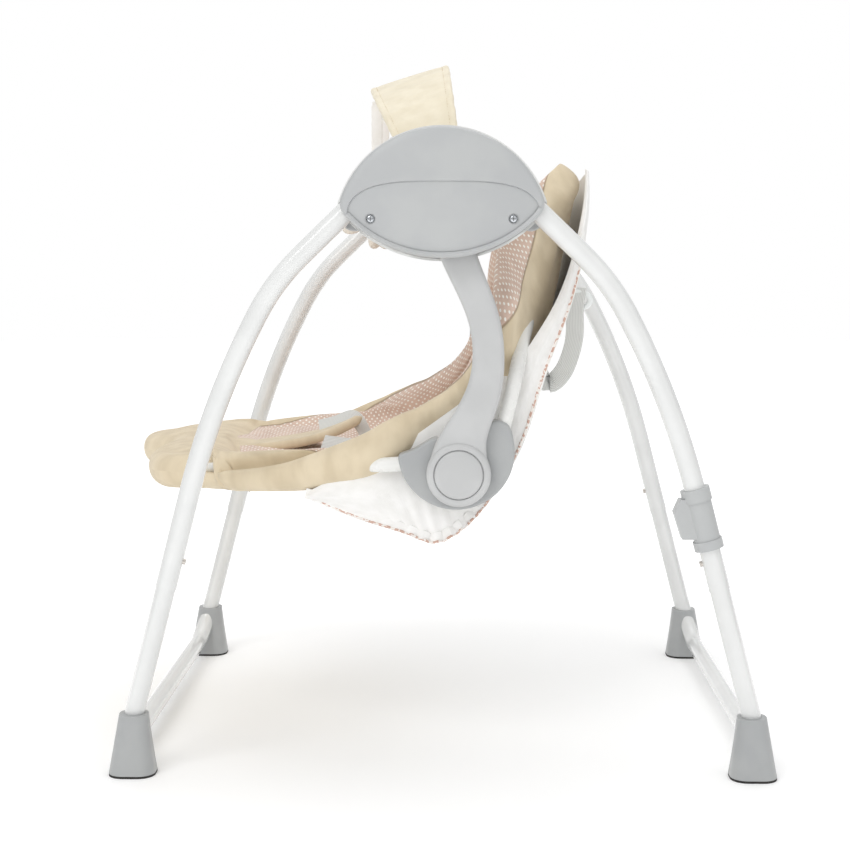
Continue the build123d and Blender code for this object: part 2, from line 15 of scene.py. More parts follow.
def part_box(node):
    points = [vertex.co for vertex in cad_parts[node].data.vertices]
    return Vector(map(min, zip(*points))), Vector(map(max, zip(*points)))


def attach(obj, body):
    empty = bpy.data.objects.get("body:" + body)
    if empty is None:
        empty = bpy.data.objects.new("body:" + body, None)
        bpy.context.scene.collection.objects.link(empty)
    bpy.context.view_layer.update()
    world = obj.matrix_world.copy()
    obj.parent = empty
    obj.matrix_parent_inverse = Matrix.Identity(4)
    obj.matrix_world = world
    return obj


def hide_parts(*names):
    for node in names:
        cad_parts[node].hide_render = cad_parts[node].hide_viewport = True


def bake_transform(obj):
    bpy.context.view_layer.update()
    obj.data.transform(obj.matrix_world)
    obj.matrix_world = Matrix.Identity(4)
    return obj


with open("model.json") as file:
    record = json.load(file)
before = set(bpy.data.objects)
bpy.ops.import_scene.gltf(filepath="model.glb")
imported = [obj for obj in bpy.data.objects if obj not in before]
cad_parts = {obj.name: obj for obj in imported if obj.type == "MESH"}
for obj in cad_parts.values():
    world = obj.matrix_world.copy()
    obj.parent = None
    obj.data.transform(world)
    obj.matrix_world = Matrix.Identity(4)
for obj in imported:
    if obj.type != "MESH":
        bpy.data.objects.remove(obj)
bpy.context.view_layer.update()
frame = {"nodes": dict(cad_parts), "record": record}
NODES = frame["nodes"]
MM = 0.001


def middle(node):
    low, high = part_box(node)
    return (Vector(low) + Vector(high)) / (2 * MM)


MID_X = middle("pivot_axles").x
HUB_X = middle("hub_caps").x - MID_X
HUB_Z = middle("hub_caps").z


# ------------------------------------------------------------ curves


def natural_cubic(at, values, where):
    """A natural cubic spline through (at, values), read at the places in where."""
    gap = np.diff(at)
    rise = np.diff(values) / gap
    matrix = np.eye(len(at))
    right = np.zeros(len(at))
    for i in range(1, len(at) - 1):
        matrix[i, i - 1 : i + 2] = gap[i - 1], 2 * (gap[i - 1] + gap[i]), gap[i]
        right[i] = 6 * (rise[i] - rise[i - 1])
    bend = np.linalg.solve(matrix, right)
    i = np.clip(np.searchsorted(at, where) - 1, 0, len(gap) - 1)
    t = where - at[i]
    slope = rise[i] - gap[i] * (2 * bend[i] + bend[i + 1]) / 6
    return values[i] + slope * t + bend[i] * t**2 / 2 + (bend[i + 1] - bend[i]) * t**3 / (6 * gap[i])


def run_of(points):
    """Distance along a line of points, from its first."""
    steps = np.linalg.norm(np.diff(points, axis=0), axis=1)
    return np.concatenate([[0], np.cumsum(steps)])


def smooth(points, count):
    """count points, evenly spaced, on a smooth curve through the given points."""
    knots = np.array(points, float)
    at = run_of(knots)
    fine = np.linspace(0, at[-1], 30 * len(knots))
    dense = np.stack([natural_cubic(at, column, fine) for column in knots.T], axis=1)
    run = run_of(dense)
    even = np.linspace(0, run[-1], count)
    return np.stack([np.interp(even, run, column) for column in dense.T], axis=1)


def step(low, high, value):
    """0 below low, 1 above high, and smooth between."""
    t = np.clip((value - low) / (high - low), 0, 1)
    return t * t * (3 - 2 * t)


def bump(value, width):
    return np.exp(-((value / width) ** 2))


def rough(points, size, seed):
    """Smooth noise from -1 to 1 at each point, with features of about that size."""
    shift = Vector((seed * 7.3, seed * 3.1, seed * 5.7))
    flat = np.asarray(points, float).reshape(-1, 3)
    values = [noise.noise(Vector(p) / size + shift) for p in flat]
    return np.array(values).reshape(np.asarray(points).shape[:-1])


# ------------------------------------------------------------ meshes


def place(points):
    return [((x + MID_X) * MM, y * MM, z * MM) for x, y, z in points]


def build(name, points, faces, cloth=None):
    """A mesh object. cloth gives each point's place on the flat fabric, in millimetres."""
    mesh = bpy.data.meshes.new(name)
    mesh.from_pydata(place(points), [], faces)
    if cloth is not None:
        layer = mesh.uv_layers.new(name="cloth")
        corners = [loop.vertex_index for loop in mesh.loops]
        layer.data.foreach_set("uv", np.asarray(cloth, float)[corners].ravel())
    piece = bpy.data.objects.new(name, mesh)
    bpy.context.scene.collection.objects.link(piece)
    return piece


def shade(piece, angle=40):
    """Smooth shading, with edges sharper than the angle kept crisp, and faces turned outwards."""
    form = bmesh.new()
    form.from_mesh(piece.data)
    bmesh.ops.recalc_face_normals(form, faces=form.faces)
    for face in form.faces:
        face.smooth = True
    for edge in form.edges:
        edge.smooth = edge.calc_face_angle(0) < math.radians(angle)
    form.to_mesh(piece.data)
    form.free()
    return piece


def apply(piece, kind, **settings):
    """Adds a modifier and applies it."""
    modifier = piece.modifiers.new(kind.lower(), kind)
    for key, value in settings.items():
        setattr(modifier, key, value)
    freeze(piece)


def freeze(piece):
    graph = bpy.context.evaluated_depsgraph_get()
    done = piece.evaluated_get(graph)
    mesh = bpy.data.meshes.new_from_object(done, preserve_all_data_layers=True, depsgraph=graph)
    mesh.name = piece.name
    piece.modifiers.clear()
    piece.data = mesh


def grid_faces(rows, columns, wrap):
    faces = []
    for i in range(rows - 1):
        for j in range(columns if wrap else columns - 1):
            k = (j + 1) % columns
            faces.append((i * columns + j, i * columns + k, (i + 1) * columns + k, (i + 1) * columns + j))
    return faces


def sweep(name, path, section, side=(0, 1, 0)):
    """A closed section carried along a path. Its first measure lies along side."""
    path = np.asarray(path, float)
    along = np.gradient(path, axis=0)
    along /= np.linalg.norm(along, axis=1)[:, None]
    across = np.broadcast_to(np.asarray(side, float), path.shape)
    normal = np.cross(along, across)
    normal /= np.linalg.norm(normal, axis=1)[:, None]
    across = np.cross(normal, along)
    section = np.broadcast_to(section, (len(path),) + np.shape(section)[-2:])
    points = path[:, None] + across[:, None] * section[..., :1] + normal[:, None] * section[..., 1:]
    rows, columns = points.shape[:2]
    faces = grid_faces(rows, columns, True)
    faces.append(tuple(reversed(range(columns))))
    faces.append(tuple(range((rows - 1) * columns, rows * columns)))
    run = run_of(path)
    cloth = [(section[i, j, 0], run[i]) for i in range(rows) for j in range(columns)]
    return shade(build(name, points.reshape(-1, 3), faces, cloth))


def circle(radius, sides=12):
    turn = np.linspace(0, 2 * math.pi, sides, endpoint=False)
    return radius * np.stack([np.cos(turn), np.sin(turn)], axis=1)


def rounded_box(width, height, corner, steps=4):
    """Outline of a rectangle with rounded corners."""
    points = []
    for quarter, (sx, sy) in enumerate(((1, 1), (-1, 1), (-1, -1), (1, -1))):
        for k in range(steps + 1):
            turn = math.pi / 2 * (quarter + k / steps)
            x = sx * (width / 2 - corner) + corner * math.cos(turn)
            y = sy * (height / 2 - corner) + corner * math.sin(turn)
            points.append((x, y))
    return np.array(points)


def turned(name, profile, x, z, sides=72):
    """Turned about a line along Y. The profile is a list of (radius, y)."""
    turn = np.linspace(0, 2 * math.pi, sides, endpoint=False)
    points = [(x + r * math.cos(a), y, z + r * math.sin(a)) for r, y in profile for a in turn]
    faces = grid_faces(len(profile), sides, True)
    faces.append(tuple(reversed(range(sides))))
    faces.append(tuple(range((len(profile) - 1) * sides, len(profile) * sides)))
    return shade(build(name, points, faces))


def plate(name, outline, y0, y1, edge):
    """A flat piece with rounded edges. The outline is in x and z."""
    count = len(outline)
    points = [(x, y0, z) for x, z in outline] + [(x, y1, z) for x, z in outline]
    faces = [tuple(range(count)), tuple(range(2 * count - 1, count - 1, -1))]
    for i in range(count):
        k = (i + 1) % count
        faces.append((i, i + count, k + count, k))
    piece = shade(build(name, points, faces))
    apply(piece, "BEVEL", width=edge * MM, segments=4, angle_limit=math.radians(50), harden_normals=True)
    return piece


def twin(piece, name):
    """The same piece on the other side of the swing."""
    mesh = piece.data.copy()
    copy = bpy.data.objects.new(name, mesh)
    bpy.context.scene.collection.objects.link(copy)
    for vertex in mesh.vertices:
        vertex.co.y = -vertex.co.y
    mesh.flip_normals()
    return copy


def settle(piece, body, slot, paint, *nodes):
    """Gives a piece its finish and its body, and lets it stand for CAD nodes."""
    piece.data.materials.clear()
    piece.data.materials.append(paint)
    if body:
        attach(piece, body)
    if nodes:
        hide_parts(*nodes)
    return piece


# ------------------------------------------------------------ materials


def linear(red, green, blue):
    def one(value):
        value /= 255
        return value / 12.92 if value <= 0.04045 else ((value + 0.055) / 1.055) ** 2.4

    return (one(red), one(green), one(blue), 1)


class Paint:
    """A node material that is put together one node at a time."""

    def __init__(self, name, **shader):
        self.material = bpy.data.materials.new(name)
        self.material.use_nodes = True
        self.tree = self.material.node_tree
        self.shader = self.tree.nodes["Principled BSDF"]
        for key, value in shader.items():
            self.shader.inputs[key.replace("_", " ")].default_value = value

    def node(self, kind, **settings):
        made = self.tree.nodes.new(kind)
        for key, value in settings.items():
            setattr(made, key, value)
        return made

    def link(self, output, target):
        self.tree.links.new(output, target)

    def where(self, source):
        """Coordinates: object places in metres, or the flat fabric in millimetres."""
        if source == "cloth":
            return self.node("ShaderNodeUVMap", uv_map="cloth").outputs["UV"]
        return self.node("ShaderNodeTexCoord").outputs["Object"]

    def math(self, operation, first, second=None, third=None):
        made = self.node("ShaderNodeMath", operation=operation)
        for socket, value in zip(made.inputs, (first, second, third)):
            if value is None:
                continue
            if isinstance(value, (int, float)):
                socket.default_value = value
            else:
                self.link(value, socket)
        return made.outputs[0]

    def noise(self, source, size, detail=3.0):
        """Noise from 0 to 1 with features of that size, in the source's own units."""
        made = self.node("ShaderNodeTexNoise")
        made.inputs["Scale"].default_value = 1 / size
        made.inputs["Detail"].default_value = detail
        self.link(self.where(source), made.inputs["Vector"])
        return made.outputs["Fac"]

    def spread(self, value, low, high, to_low=0.0, to_high=1.0):
        made = self.node("ShaderNodeMapRange", interpolation_type="SMOOTHSTEP")
        for end, number in zip(("From Min", "From Max", "To Min", "To Max"), (low, high, to_low, to_high)):
            made.inputs[end].default_value = number
        self.link(value, made.inputs["Value"])
        return made.outputs["Result"]

    def mix(self, factor, first, second):
        made = self.node("ShaderNodeMix", data_type="RGBA")
        self.link(factor, made.inputs["Factor"])
        for socket, value in ((made.inputs[6], first), (made.inputs[7], second)):
            if isinstance(value, tuple):
                socket.default_value = value
            else:
                self.link(value, socket)
        return made.outputs[2]

    def colour(self, value):
        self.link(value, self.shader.inputs["Base Color"])

    def roughness(self, value):
        self.link(value, self.shader.inputs["Roughness"])

    def relief(self, height, strength, depth):
        """Bump from a height from 0 to 1 that stands for that depth in metres."""
        made = self.node("ShaderNodeBump")
        made.inputs["Strength"].default_value = strength
        made.inputs["Distance"].default_value = depth
        self.link(height, made.inputs["Height"])
        self.link(made.outputs["Normal"], self.shader.inputs["Normal"])


def moulded(name, light, dark, rough_low, rough_high, grain=0.0006, depth=0.00004, **shader):
    """Plastic or paint: faint cloudiness, uneven gloss and a fine grain."""
    paint = Paint(name, **shader)
    paint.colour(paint.mix(paint.spread(paint.noise("place", 0.05), 0.35, 0.65), light, dark))
    paint.roughness(paint.spread(paint.noise("place", 0.012), 0.3, 0.7, rough_low, rough_high))
    paint.relief(paint.noise("place", grain, 2.0), 0.35, depth)
    return paint.material


def threads(paint, pitch):
    """A plain weave on the flat fabric, from 0 to 1."""
    split = paint.node("ShaderNodeSeparateXYZ")
    paint.link(paint.where("cloth"), split.inputs[0])
    turn = 2 * math.pi / pitch
    across = paint.math("SINE", paint.math("MULTIPLY", split.outputs[0], turn))
    along = paint.math("SINE", paint.math("MULTIPLY", split.outputs[1], turn))
    return paint.math("MULTIPLY_ADD", paint.math("MULTIPLY", across, along), 0.5, 0.5)


def cloth_relief(paint, pitch, crease=18.0):
    """Thread relief together with soft rumples of the cloth."""
    rumple = paint.noise("cloth", crease, 4.0)
    height = paint.math("ADD", paint.math("MULTIPLY", threads(paint, pitch), 0.18), rumple)
    paint.relief(height, 0.5, 0.0012)


def woven(name, light, dark, pitch=0.9):
    """Plain cloth: two close shades, thread relief and rumples."""
    paint = Paint(name, Roughness=0.85, Sheen_Weight=0.25, Sheen_Roughness=0.5)
    paint.colour(paint.mix(paint.spread(paint.noise("cloth", 22.0), 0.3, 0.7), light, dark))
    cloth_relief(paint, pitch)
    return paint.material


def dots(paint, pitch, radius):
    """1 inside a staggered lattice of round dots on the flat fabric, 0 outside."""
    turned_map = paint.node("ShaderNodeMapping")
    turned_map.inputs["Rotation"].default_value = (0, 0, math.radians(45))
    turned_map.inputs["Scale"].default_value = (1 / pitch, 1 / pitch, 1)
    paint.link(paint.where("cloth"), turned_map.inputs["Vector"])
    cell = paint.node("ShaderNodeVectorMath", operation="FRACTION")
    paint.link(turned_map.outputs[0], cell.inputs[0])
    centred = paint.node("ShaderNodeVectorMath", operation="SUBTRACT")
    paint.link(cell.outputs[0], centred.inputs[0])
    centred.inputs[1].default_value = (0.5, 0.5, 0)
    length = paint.node("ShaderNodeVectorMath", operation="LENGTH")
    paint.link(centred.outputs[0], length.inputs[0])
    return paint.spread(length.outputs["Value"], (radius - 0.15) / pitch, (radius + 0.15) / pitch, 1.0, 0.0)


BEIGE = linear(226, 211, 183)
BEIGE_DARK = linear(212, 196, 167)
ROSE = linear(224, 200, 184)
ROSE_DARK = linear(212, 186, 170)
DOT = linear(250, 246, 240)
DOT_PITCH = 5.6
DOT_R = 1.3


def dotted_colour(paint):
    base = paint.mix(paint.spread(paint.noise("cloth", 22.0), 0.3, 0.7), ROSE, ROSE_DARK)
    return paint.mix(dots(paint, DOT_PITCH, DOT_R), base, DOT)


def pin_dot_cloth():
    paint = Paint("dotted_fabric", Roughness=0.85, Sheen_Weight=0.2, Sheen_Roughness=0.5)
    paint.colour(dotted_colour(paint))
    cloth_relief(paint, 0.9)
    return paint.material


def pad_cloth():
    """Beige cloth outside the seam and pin-dot lining inside it, with the seam's shadow."""
    paint = Paint("pad_fabric", Roughness=0.85, Sheen_Weight=0.22, Sheen_Roughness=0.5)
    lining = paint.node("ShaderNodeAttribute", attribute_name="lining").outputs["Fac"]
    beige = paint.mix(paint.spread(paint.noise("cloth", 26.0), 0.3, 0.7), BEIGE, BEIGE_DARK)
    inside = paint.spread(lining, -0.2, 0.2)
    cloth = paint.mix(inside, beige, dotted_colour(paint))
    gap = paint.math("ABSOLUTE", lining)
    seam = paint.spread(gap, 0.4, 1.6, 0.75, 0.0)
    paint.colour(paint.mix(seam, cloth, linear(150, 128, 104)))
    rumple = paint.noise("cloth", 16.0, 4.0)
    groove = paint.spread(gap, 0.3, 2.5)
    height = paint.math("ADD", paint.math("MULTIPLY", threads(paint, 0.9), 0.16), rumple)
    paint.relief(paint.math("ADD", height, groove), 0.5, 0.0012)
    return paint.material


def ribbed(name, light, dark, rib=2.2):
    """Webbing: ribs along its length with a fine cross thread, and painted shade that darkens the colour in the
    weave's low parts.
    """
    paint = Paint(name, Roughness=0.7, Sheen_Weight=0.2)
    split = paint.node("ShaderNodeSeparateXYZ")
    paint.link(paint.where("cloth"), split.inputs[0])
    ribs = paint.math("SINE", paint.math("MULTIPLY", split.outputs[0], 2 * math.pi / rib))
    cross = paint.math("SINE", paint.math("MULTIPLY", split.outputs[1], 2 * math.pi / 1.1))
    height = paint.math("MULTIPLY_ADD", paint.math("MULTIPLY_ADD", cross, 0.35, ribs), 0.35, 0.5)
    # Painted shade: the colour follows the weave's height, darker in the grooves between ribs and threads.
    paint.colour(paint.mix(paint.spread(height, 0.1, 0.8), dark, light))
    paint.relief(height, 0.6, 0.0007)
    return paint.material


def speckled_piping():
    paint = Paint("piping", Roughness=0.8)
    blots = paint.spread(paint.noise("place", 0.004, 1.0), 0.47, 0.53)
    paint.colour(paint.mix(blots, linear(240, 234, 228), linear(206, 170, 154)))
    paint.relief(paint.noise("place", 0.001), 0.4, 0.0003)
    return paint.material


def metal(name, colour, dark, roughness):
    paint = Paint(name, Metallic=1.0, Roughness=roughness)
    paint.colour(paint.mix(paint.noise("place", 0.003), colour, dark))
    paint.relief(paint.noise("place", 0.0004), 0.2, 0.00003)
    return paint.material


WHITE_TUBE = moulded("tube_paint", linear(231, 232, 231), linear(226, 227, 226), 0.15, 0.19,
                     grain=0.0012, depth=0.000006, Coat_Weight=1.0, Coat_Roughness=0.05)
FRAME_TUBE = moulded("seat_frame_paint", linear(236, 236, 233), linear(229, 229, 226), 0.22, 0.32)
HOUSING = moulded("housing_plastic", linear(186, 188, 188), linear(181, 183, 184), 0.34, 0.44)
ARM = moulded("arm_plastic", linear(198, 199, 199), linear(192, 193, 193), 0.32, 0.42)
BRACKET = moulded("bracket_plastic", linear(176, 178, 178), linear(169, 171, 172), 0.36, 0.48)
SHELL = moulded("shell_plastic", linear(240, 240, 238), linear(234, 235, 233), 0.3, 0.4)
SNAP = metal("snap_button", linear(226, 222, 216), linear(180, 172, 164), 0.3)
SOLE = moulded("sole_rubber", linear(52, 50, 48), linear(42, 41, 40), 0.75, 0.9, grain=0.0015, depth=0.0003)
BUTTON = moulded("panel_button", linear(236, 236, 236), linear(226, 226, 226), 0.3, 0.45)
BUCKLE = moulded("buckle_plastic", linear(206, 207, 206), linear(197, 198, 198), 0.35, 0.5)
RING = moulded("ring_plastic", linear(238, 241, 240), linear(230, 234, 233), 0.25, 0.35)
CELL = moulded("battery", linear(90, 96, 104), linear(70, 74, 80), 0.3, 0.4, Metallic=0.6)
BOARD = moulded("circuit", linear(48, 96, 62), linear(38, 82, 52), 0.4, 0.6, grain=0.002, depth=0.0002)
SPEAKER = moulded("speaker", linear(46, 46, 48), linear(34, 34, 36), 0.6, 0.8)
MAGNET = moulded("magnet", linear(96, 94, 92), linear(80, 78, 76), 0.3, 0.5, Metallic=0.8)
BUSH = moulded("bush_plastic", linear(228, 224, 212), linear(216, 212, 200), 0.4, 0.5)
STEEL = metal("steel", linear(228, 231, 234), linear(186, 190, 196), 0.22)
COIL = metal("coil_wire", linear(188, 120, 84), linear(150, 90, 60), 0.4)
PAD = pad_cloth()
BEIGE_CLOTH = woven("beige_fabric", BEIGE, BEIGE_DARK)
BAR_CLOTH = woven("toy_bar_fabric", linear(238, 229, 207), linear(230, 220, 196))
DOTTED_CLOTH = pin_dot_cloth()
WHITE_CLOTH = woven("white_fabric", linear(251, 250, 248), linear(244, 243, 240))
TOY_CLOTH = woven("toy_fabric", linear(236, 230, 220), linear(222, 214, 202))
WEBBING = ribbed("webbing", linear(228, 229, 226), linear(204, 205, 202))
PIPING = speckled_piping()

SLOT_PAINT = {
    "white_tube": WHITE_TUBE,
    "seat_frame": FRAME_TUBE,
    "grey_plastic": HOUSING,
    "arm_plastic": ARM,
    "dark_grey_plastic": BRACKET,
    "white_plastic": SHELL,
    "rubber": SOLE,
    "steel": STEEL,
    "copper": COIL,
    "button_metal": SNAP,
    "bush_plastic": BUSH,
    "battery": CELL,
    "circuit": BOARD,
    "magnet": MAGNET,
    "speaker_black": SPEAKER,
    "panel_button": BUTTON,
    "beige_fabric": BEIGE_CLOTH,
    "dotted_fabric": DOTTED_CLOTH,
    "white_fabric": WHITE_CLOTH,
    "grey_webbing": WEBBING,
    "buckle_plastic": BUCKLE,
    "toy_fabric": TOY_CLOTH,
}


def paint_frame():
    """Every CAD node takes the finish of its material slot."""
    for entry in frame["record"]["subparts"]:
        node = NODES[entry["node"]]
        node.data.materials.clear()
        node.data.materials.append(SLOT_PAINT[entry["material_slot"]])


# ------------------------------------------------------------ camera, floor and light

CAMERA_AT = (MID_X + 19.5, -1914.9, 552.5)
CAMERA_DOWN = 6.05
CAMERA_YAW = 1.29
CAMERA_LENS = 67.2


def camera():
    lens = bpy.data.cameras.new("camera")
    lens.lens = CAMERA_LENS
    lens.sensor_width = 36
    eye = bpy.data.objects.new("camera", lens)
    eye.location = [value * MM for value in CAMERA_AT]
    eye.rotation_euler = (math.radians(90 - CAMERA_DOWN), 0, math.radians(CAMERA_YAW))
    bpy.context.scene.collection.objects.link(eye)
    bpy.context.scene.camera = eye


AMBIENT = 0.8
FLAG_DARKNESS = 0.38  # the surround at the swing's head and foot ends, which draws the tubes' edges


def studio():
    """A pale floor that glows as painted light, least near the swing as painted shadow, a white surround with
    dark flags at both ends, and three soft lights.
    """
    floor = build("floor", circle_floor(9000.0, 0.0), [tuple(range(64))])
    paint = Paint("floor", Roughness=0.9, Emission_Color=(1, 1, 1, 1))
    # Painted light: the floor glows faintly within 0.2 m of its origin and most beyond 1.2 m, so the dimmer
    # floor near the swing is painted shadow.
    away = paint.node("ShaderNodeVectorMath", operation="LENGTH")
    paint.link(paint.where("place"), away.inputs[0])
    painted_floor_glow = paint.spread(away.outputs["Value"], 0.2, 1.2, 0.04, 0.34)
    paint.link(painted_floor_glow, paint.shader.inputs["Emission Strength"])
    paint.colour(paint.mix(paint.noise("place", 0.8), linear(255, 255, 255), linear(253, 253, 253)))
    floor.data.materials.append(paint.material)
    world = bpy.data.worlds.new("world")
    world.use_nodes = True
    tree = world.node_tree
    tree.nodes["Background"].inputs["Color"].default_value = (1, 1, 1, 1)
    seen = tree.nodes.new("ShaderNodeLightPath").outputs["Is Camera Ray"]
    around = tree.nodes.new("ShaderNodeSeparateXYZ")
    tree.links.new(tree.nodes.new("ShaderNodeTexCoord").outputs["Generated"], around.inputs[0])
    sideways = tree.nodes.new("ShaderNodeMath")
    sideways.operation = "ABSOLUTE"
    tree.links.new(around.outputs[0], sideways.inputs[0])
    flags = tree.nodes.new("ShaderNodeMapRange")
    for end, value in zip(("From Min", "From Max", "To Min", "To Max"), (0.45, 0.95, AMBIENT, FLAG_DARKNESS)):
        flags.inputs[end].default_value = value
    tree.links.new(sideways.outputs[0], flags.inputs["Value"])
    strength = tree.nodes.new("ShaderNodeMapRange")
    strength.inputs["To Max"].default_value = 1.0
    tree.links.new(seen, strength.inputs["Value"])
    tree.links.new(flags.outputs["Result"], strength.inputs["To Min"])
    tree.links.new(strength.outputs["Result"], tree.nodes["Background"].inputs["Strength"])
    bpy.context.scene.world = world
    for name, at, size, power in (
        ("key", (-1.6, -2.6, 3.0), 1.8, 34),
        ("fill", (2.8, -1.4, 1.8), 2.0, 5),
        ("top", (0.2, 0.6, 3.2), 2.6, 24),
    ):
        light = bpy.data.lights.new(name, "AREA")
        light.size = size
        light.energy = power
        lamp = bpy.data.objects.new(name, light)
        lamp.location = at
        lamp.rotation_euler = (Vector((0, 0, 0.4)) - Vector(at)).to_track_quat("-Z", "Y").to_euler()
        bpy.context.scene.collection.objects.link(lamp)
    bpy.context.scene.view_settings.view_transform = "Standard"


def circle_floor(radius, z):
    turn = np.linspace(0, 2 * math.pi, 64, endpoint=False)
    return [(radius * math.cos(a), radius * math.sin(a), z) for a in turn]


# ------------------------------------------------------------ housings

SEAM_Y = 256.0
DOME_Y = 292.0
DOME_FALL = 12 / 110**2  # how fast the cover falls away from its middle
LENS_MIDDLE_Z = 606.0
HIGH_ARC = (573.8, 111.0)
LOW_ARC = (686.7, 135.7)
PANEL_STEP = 1.5
SOCKET_TOP_Y = 275.2
SLOT_TOP_Z = 603.0
SCREW_X = 73.0
SCREW_Z = 591.0


def lens_edge(turn):
    """Distance from the lens's middle to its edge in each direction."""
    low = np.full(len(turn), 20.0)
    high = np.full(len(turn), 130.0)
    for _ in range(30):
        reach = (low + high) / 2
        x = reach * np.cos(turn)
        z = LENS_MIDDLE_Z + reach * np.sin(turn)
        first = np.hypot(x, z - HIGH_ARC[0]) - HIGH_ARC[1]
        second = np.hypot(x, z - LOW_ARC[0]) - LOW_ARC[1]
        soften = np.maximum(9.0 - np.abs(first - second), 0) / 9.0
        outside = np.maximum(first, second) + soften**2 * 9.0 / 4
        high = np.where(outside > 0, reach, high)
        low = np.where(outside > 0, low, reach)
    return low


def panel_edge(turn, edge):
    """Distance from the lens's middle to the crease round the lower panel."""
    low = np.full(len(turn), 2.0)
    high = edge.copy()
    for _ in range(30):
        reach = (low + high) / 2
        x = np.abs(reach * np.cos(turn) - 1.5) / 98
        z = np.maximum(LENS_MIDDLE_Z + reach * np.sin(turn) - 598, 0) / 31
        inside = x**3.7 + z**2 < 1
        low = np.where(inside, reach, low)
        high = np.where(inside, high, reach)
    return np.minimum(low, edge - 5)


# (distance out from the crease, height) across the crease round the lower panel, and
# (distance in from the cover's edge, height) where its edge turns down
CREASE = [(-2.6, -1.5), (-1.0, -1.7), (-0.4, -2.0), (0.1, -1.9), (0.5, -0.5), (1.0, -0.12), (1.8, 0)]
EDGE_ROUND = [(3.2, -0.1), (2.2, -0.6), (1.3, -1.4), (0.6, -2.4), (0.15, -3.6), (0, -4.6)]


def cover_rings(edge, panel):
    """(distance from the middle, height above the dome) of each ring of the cover."""
    rings = [(panel * part, -PANEL_STEP) for part in (0.01, 0.15, 0.3, 0.45, 0.6, 0.75, 0.88)]
    rings += [(panel + offset, height) for offset, height in CREASE]
    start = panel + CREASE[-1][0]
    end = edge - 4
    rings += [(start + (end - start) * part, 0) for part in (0.2, 0.45, 0.7, 0.9)]
    return rings + [(edge - offset, height) for offset, height in EDGE_ROUND]


def slot_here(x, z):
    """Whether the rim is open here for a leg tube or the swing arm."""
    arm = np.abs(x - 18) < 50
    return (z < SLOT_TOP_Z) & (arm | (np.abs(x) > 80))


def cover(name):
    turn = np.linspace(0, 2 * math.pi, 300, endpoint=False)
    edge = lens_edge(turn)
    panel = panel_edge(turn, edge)
    points = []
    for reach, height in cover_rings(edge, panel):
        x = reach * np.cos(turn)
        z = LENS_MIDDLE_Z + reach * np.sin(turn)
        y = DOME_Y - DOME_FALL * (x**2 + (z - LENS_MIDDLE_Z) ** 2) + height
        points.append(np.stack([x, -y, z], axis=1))
    rim = points[-1]
    rows = len(points)
    for y in (SOCKET_TOP_Y, SEAM_Y):
        lower = rim.copy()
        lower[:, 1] = -y
        points.append(lower)
    count = len(turn)
    faces = grid_faces(rows + 1, count, True)
    faces.append(tuple(range(count)))
    for j in range(count):
        k = (j + 1) % count
        if not slot_here(rim[j, 0], rim[j, 2]):
            faces.append(tuple((rows + i) * count + c for i, c in ((0, j), (0, k), (1, k), (1, j))))
    piece = shade(build(name, np.concatenate(points), faces), 50)
    apply(piece, "SOLIDIFY", thickness=2.2 * MM, offset=-1)
    for x in (-SCREW_X, SCREW_X):
        cut_recess(piece, x)
    return shade(piece, 35)


def cut_recess(piece, x):
    """Sinks a screw recess through the cover."""
    cutter = turned("cutter", [(5.4, -300.0), (5.4, -270.0)], x, SCREW_Z, 48)
    apply(piece, "BOOLEAN", operation="DIFFERENCE", object=cutter, solver="EXACT")
    bpy.data.objects.remove(cutter)


# The lower panel's surface beside the screws
PANEL_Y = DOME_Y - DOME_FALL * (SCREW_X**2 + (SCREW_Z - LENS_MIDDLE_Z) ** 2) - PANEL_STEP
SCREW_SINK = 1.2


def screw(name, x):
    """A cross-head screw at the bottom of its cup."""
    top = PANEL_Y - SCREW_SINK
    profile = [(4.0, 4 - top), (4.0, 0.9 - top), (3.4, 0.3 - top), (2.0, -top), (0.4, -top)]
    head = turned(name, profile, x, SCREW_Z, 32)
    for wide, tall in ((2.5, 0.45), (0.45, 2.5)):
        outline = [(x + sx * wide, SCREW_Z + sz * tall) for sx, sz in ((-1, -1), (1, -1), (1, 1), (-1, 1))]
        cutter = plate("cutter", outline, -(top + 1), -(top - 1.4), 0.02)
        apply(head, "BOOLEAN", operation="DIFFERENCE", object=cutter, solver="EXACT")
        bpy.data.objects.remove(cutter)
    return shade(head, 35)


def screw_cup(name, x):
    depths = [(5.35, 6), (5.35, -0.1), (4.9, 0.2), (4.5, 2.4), (0.5, 2.6)]
    return turned(name, [(radius, depth - PANEL_Y) for radius, depth in depths], x, SCREW_Z, 48)


def leg_socket(name, side):
    """Rounded grey lug of the housing behind a tube's top."""
    outline = [(side * 92 + x, 594 + z) for x, z in circle(15, 40)]
    return plate(name, outline, -249.6, -232.0, 2.0)


def housings():
    settle(cover("left_housing_cover"), "frame_housings", "grey_plastic", HOUSING, "left_cover")
    ends = (("front", -1), ("rear", 1))
    cups = [screw_cup(f"left_screw_cup_{end}", side * SCREW_X) for end, side in ends]
    screws = [screw(f"left_screw_{end}", side * SCREW_X) for end, side in ends]
    lugs = [leg_socket(f"left_leg_socket_{end}", side) for end, side in ends]
    for pieces, slot, paint in (
        (cups, "grey_plastic", BRACKET),
        (screws, "steel", STEEL),
        (lugs, "grey_plastic", HOUSING),
    ):
        for piece in pieces:
            other = twin(piece, piece.name.replace("left", "right"))
            settle(piece, "frame_housings", slot, paint)
            settle(other, "frame_housings", slot, paint)
    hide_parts("cover_screws")


# ------------------------------------------------------------ swing arms, hubs and seat brackets

ARM_Y = 250.0
ARM_THICK = 13.0
HUB_R = 34.0


# The arm's two edges, from the housing down to the hub
ARM_FRONT = [(-15, 612), (-8, 570), (10, 528), (26, 490), (32, 455), (26, 410), (6, 372), (-10, 345),
             (-14, 326)]
ARM_REAR = [(15, 612), (30, 570), (45, 530), (59, 493), (65, 451), (60, 408), (49, 372), (48, 345),
            (49, 326)]
ARM_ROWS = 60


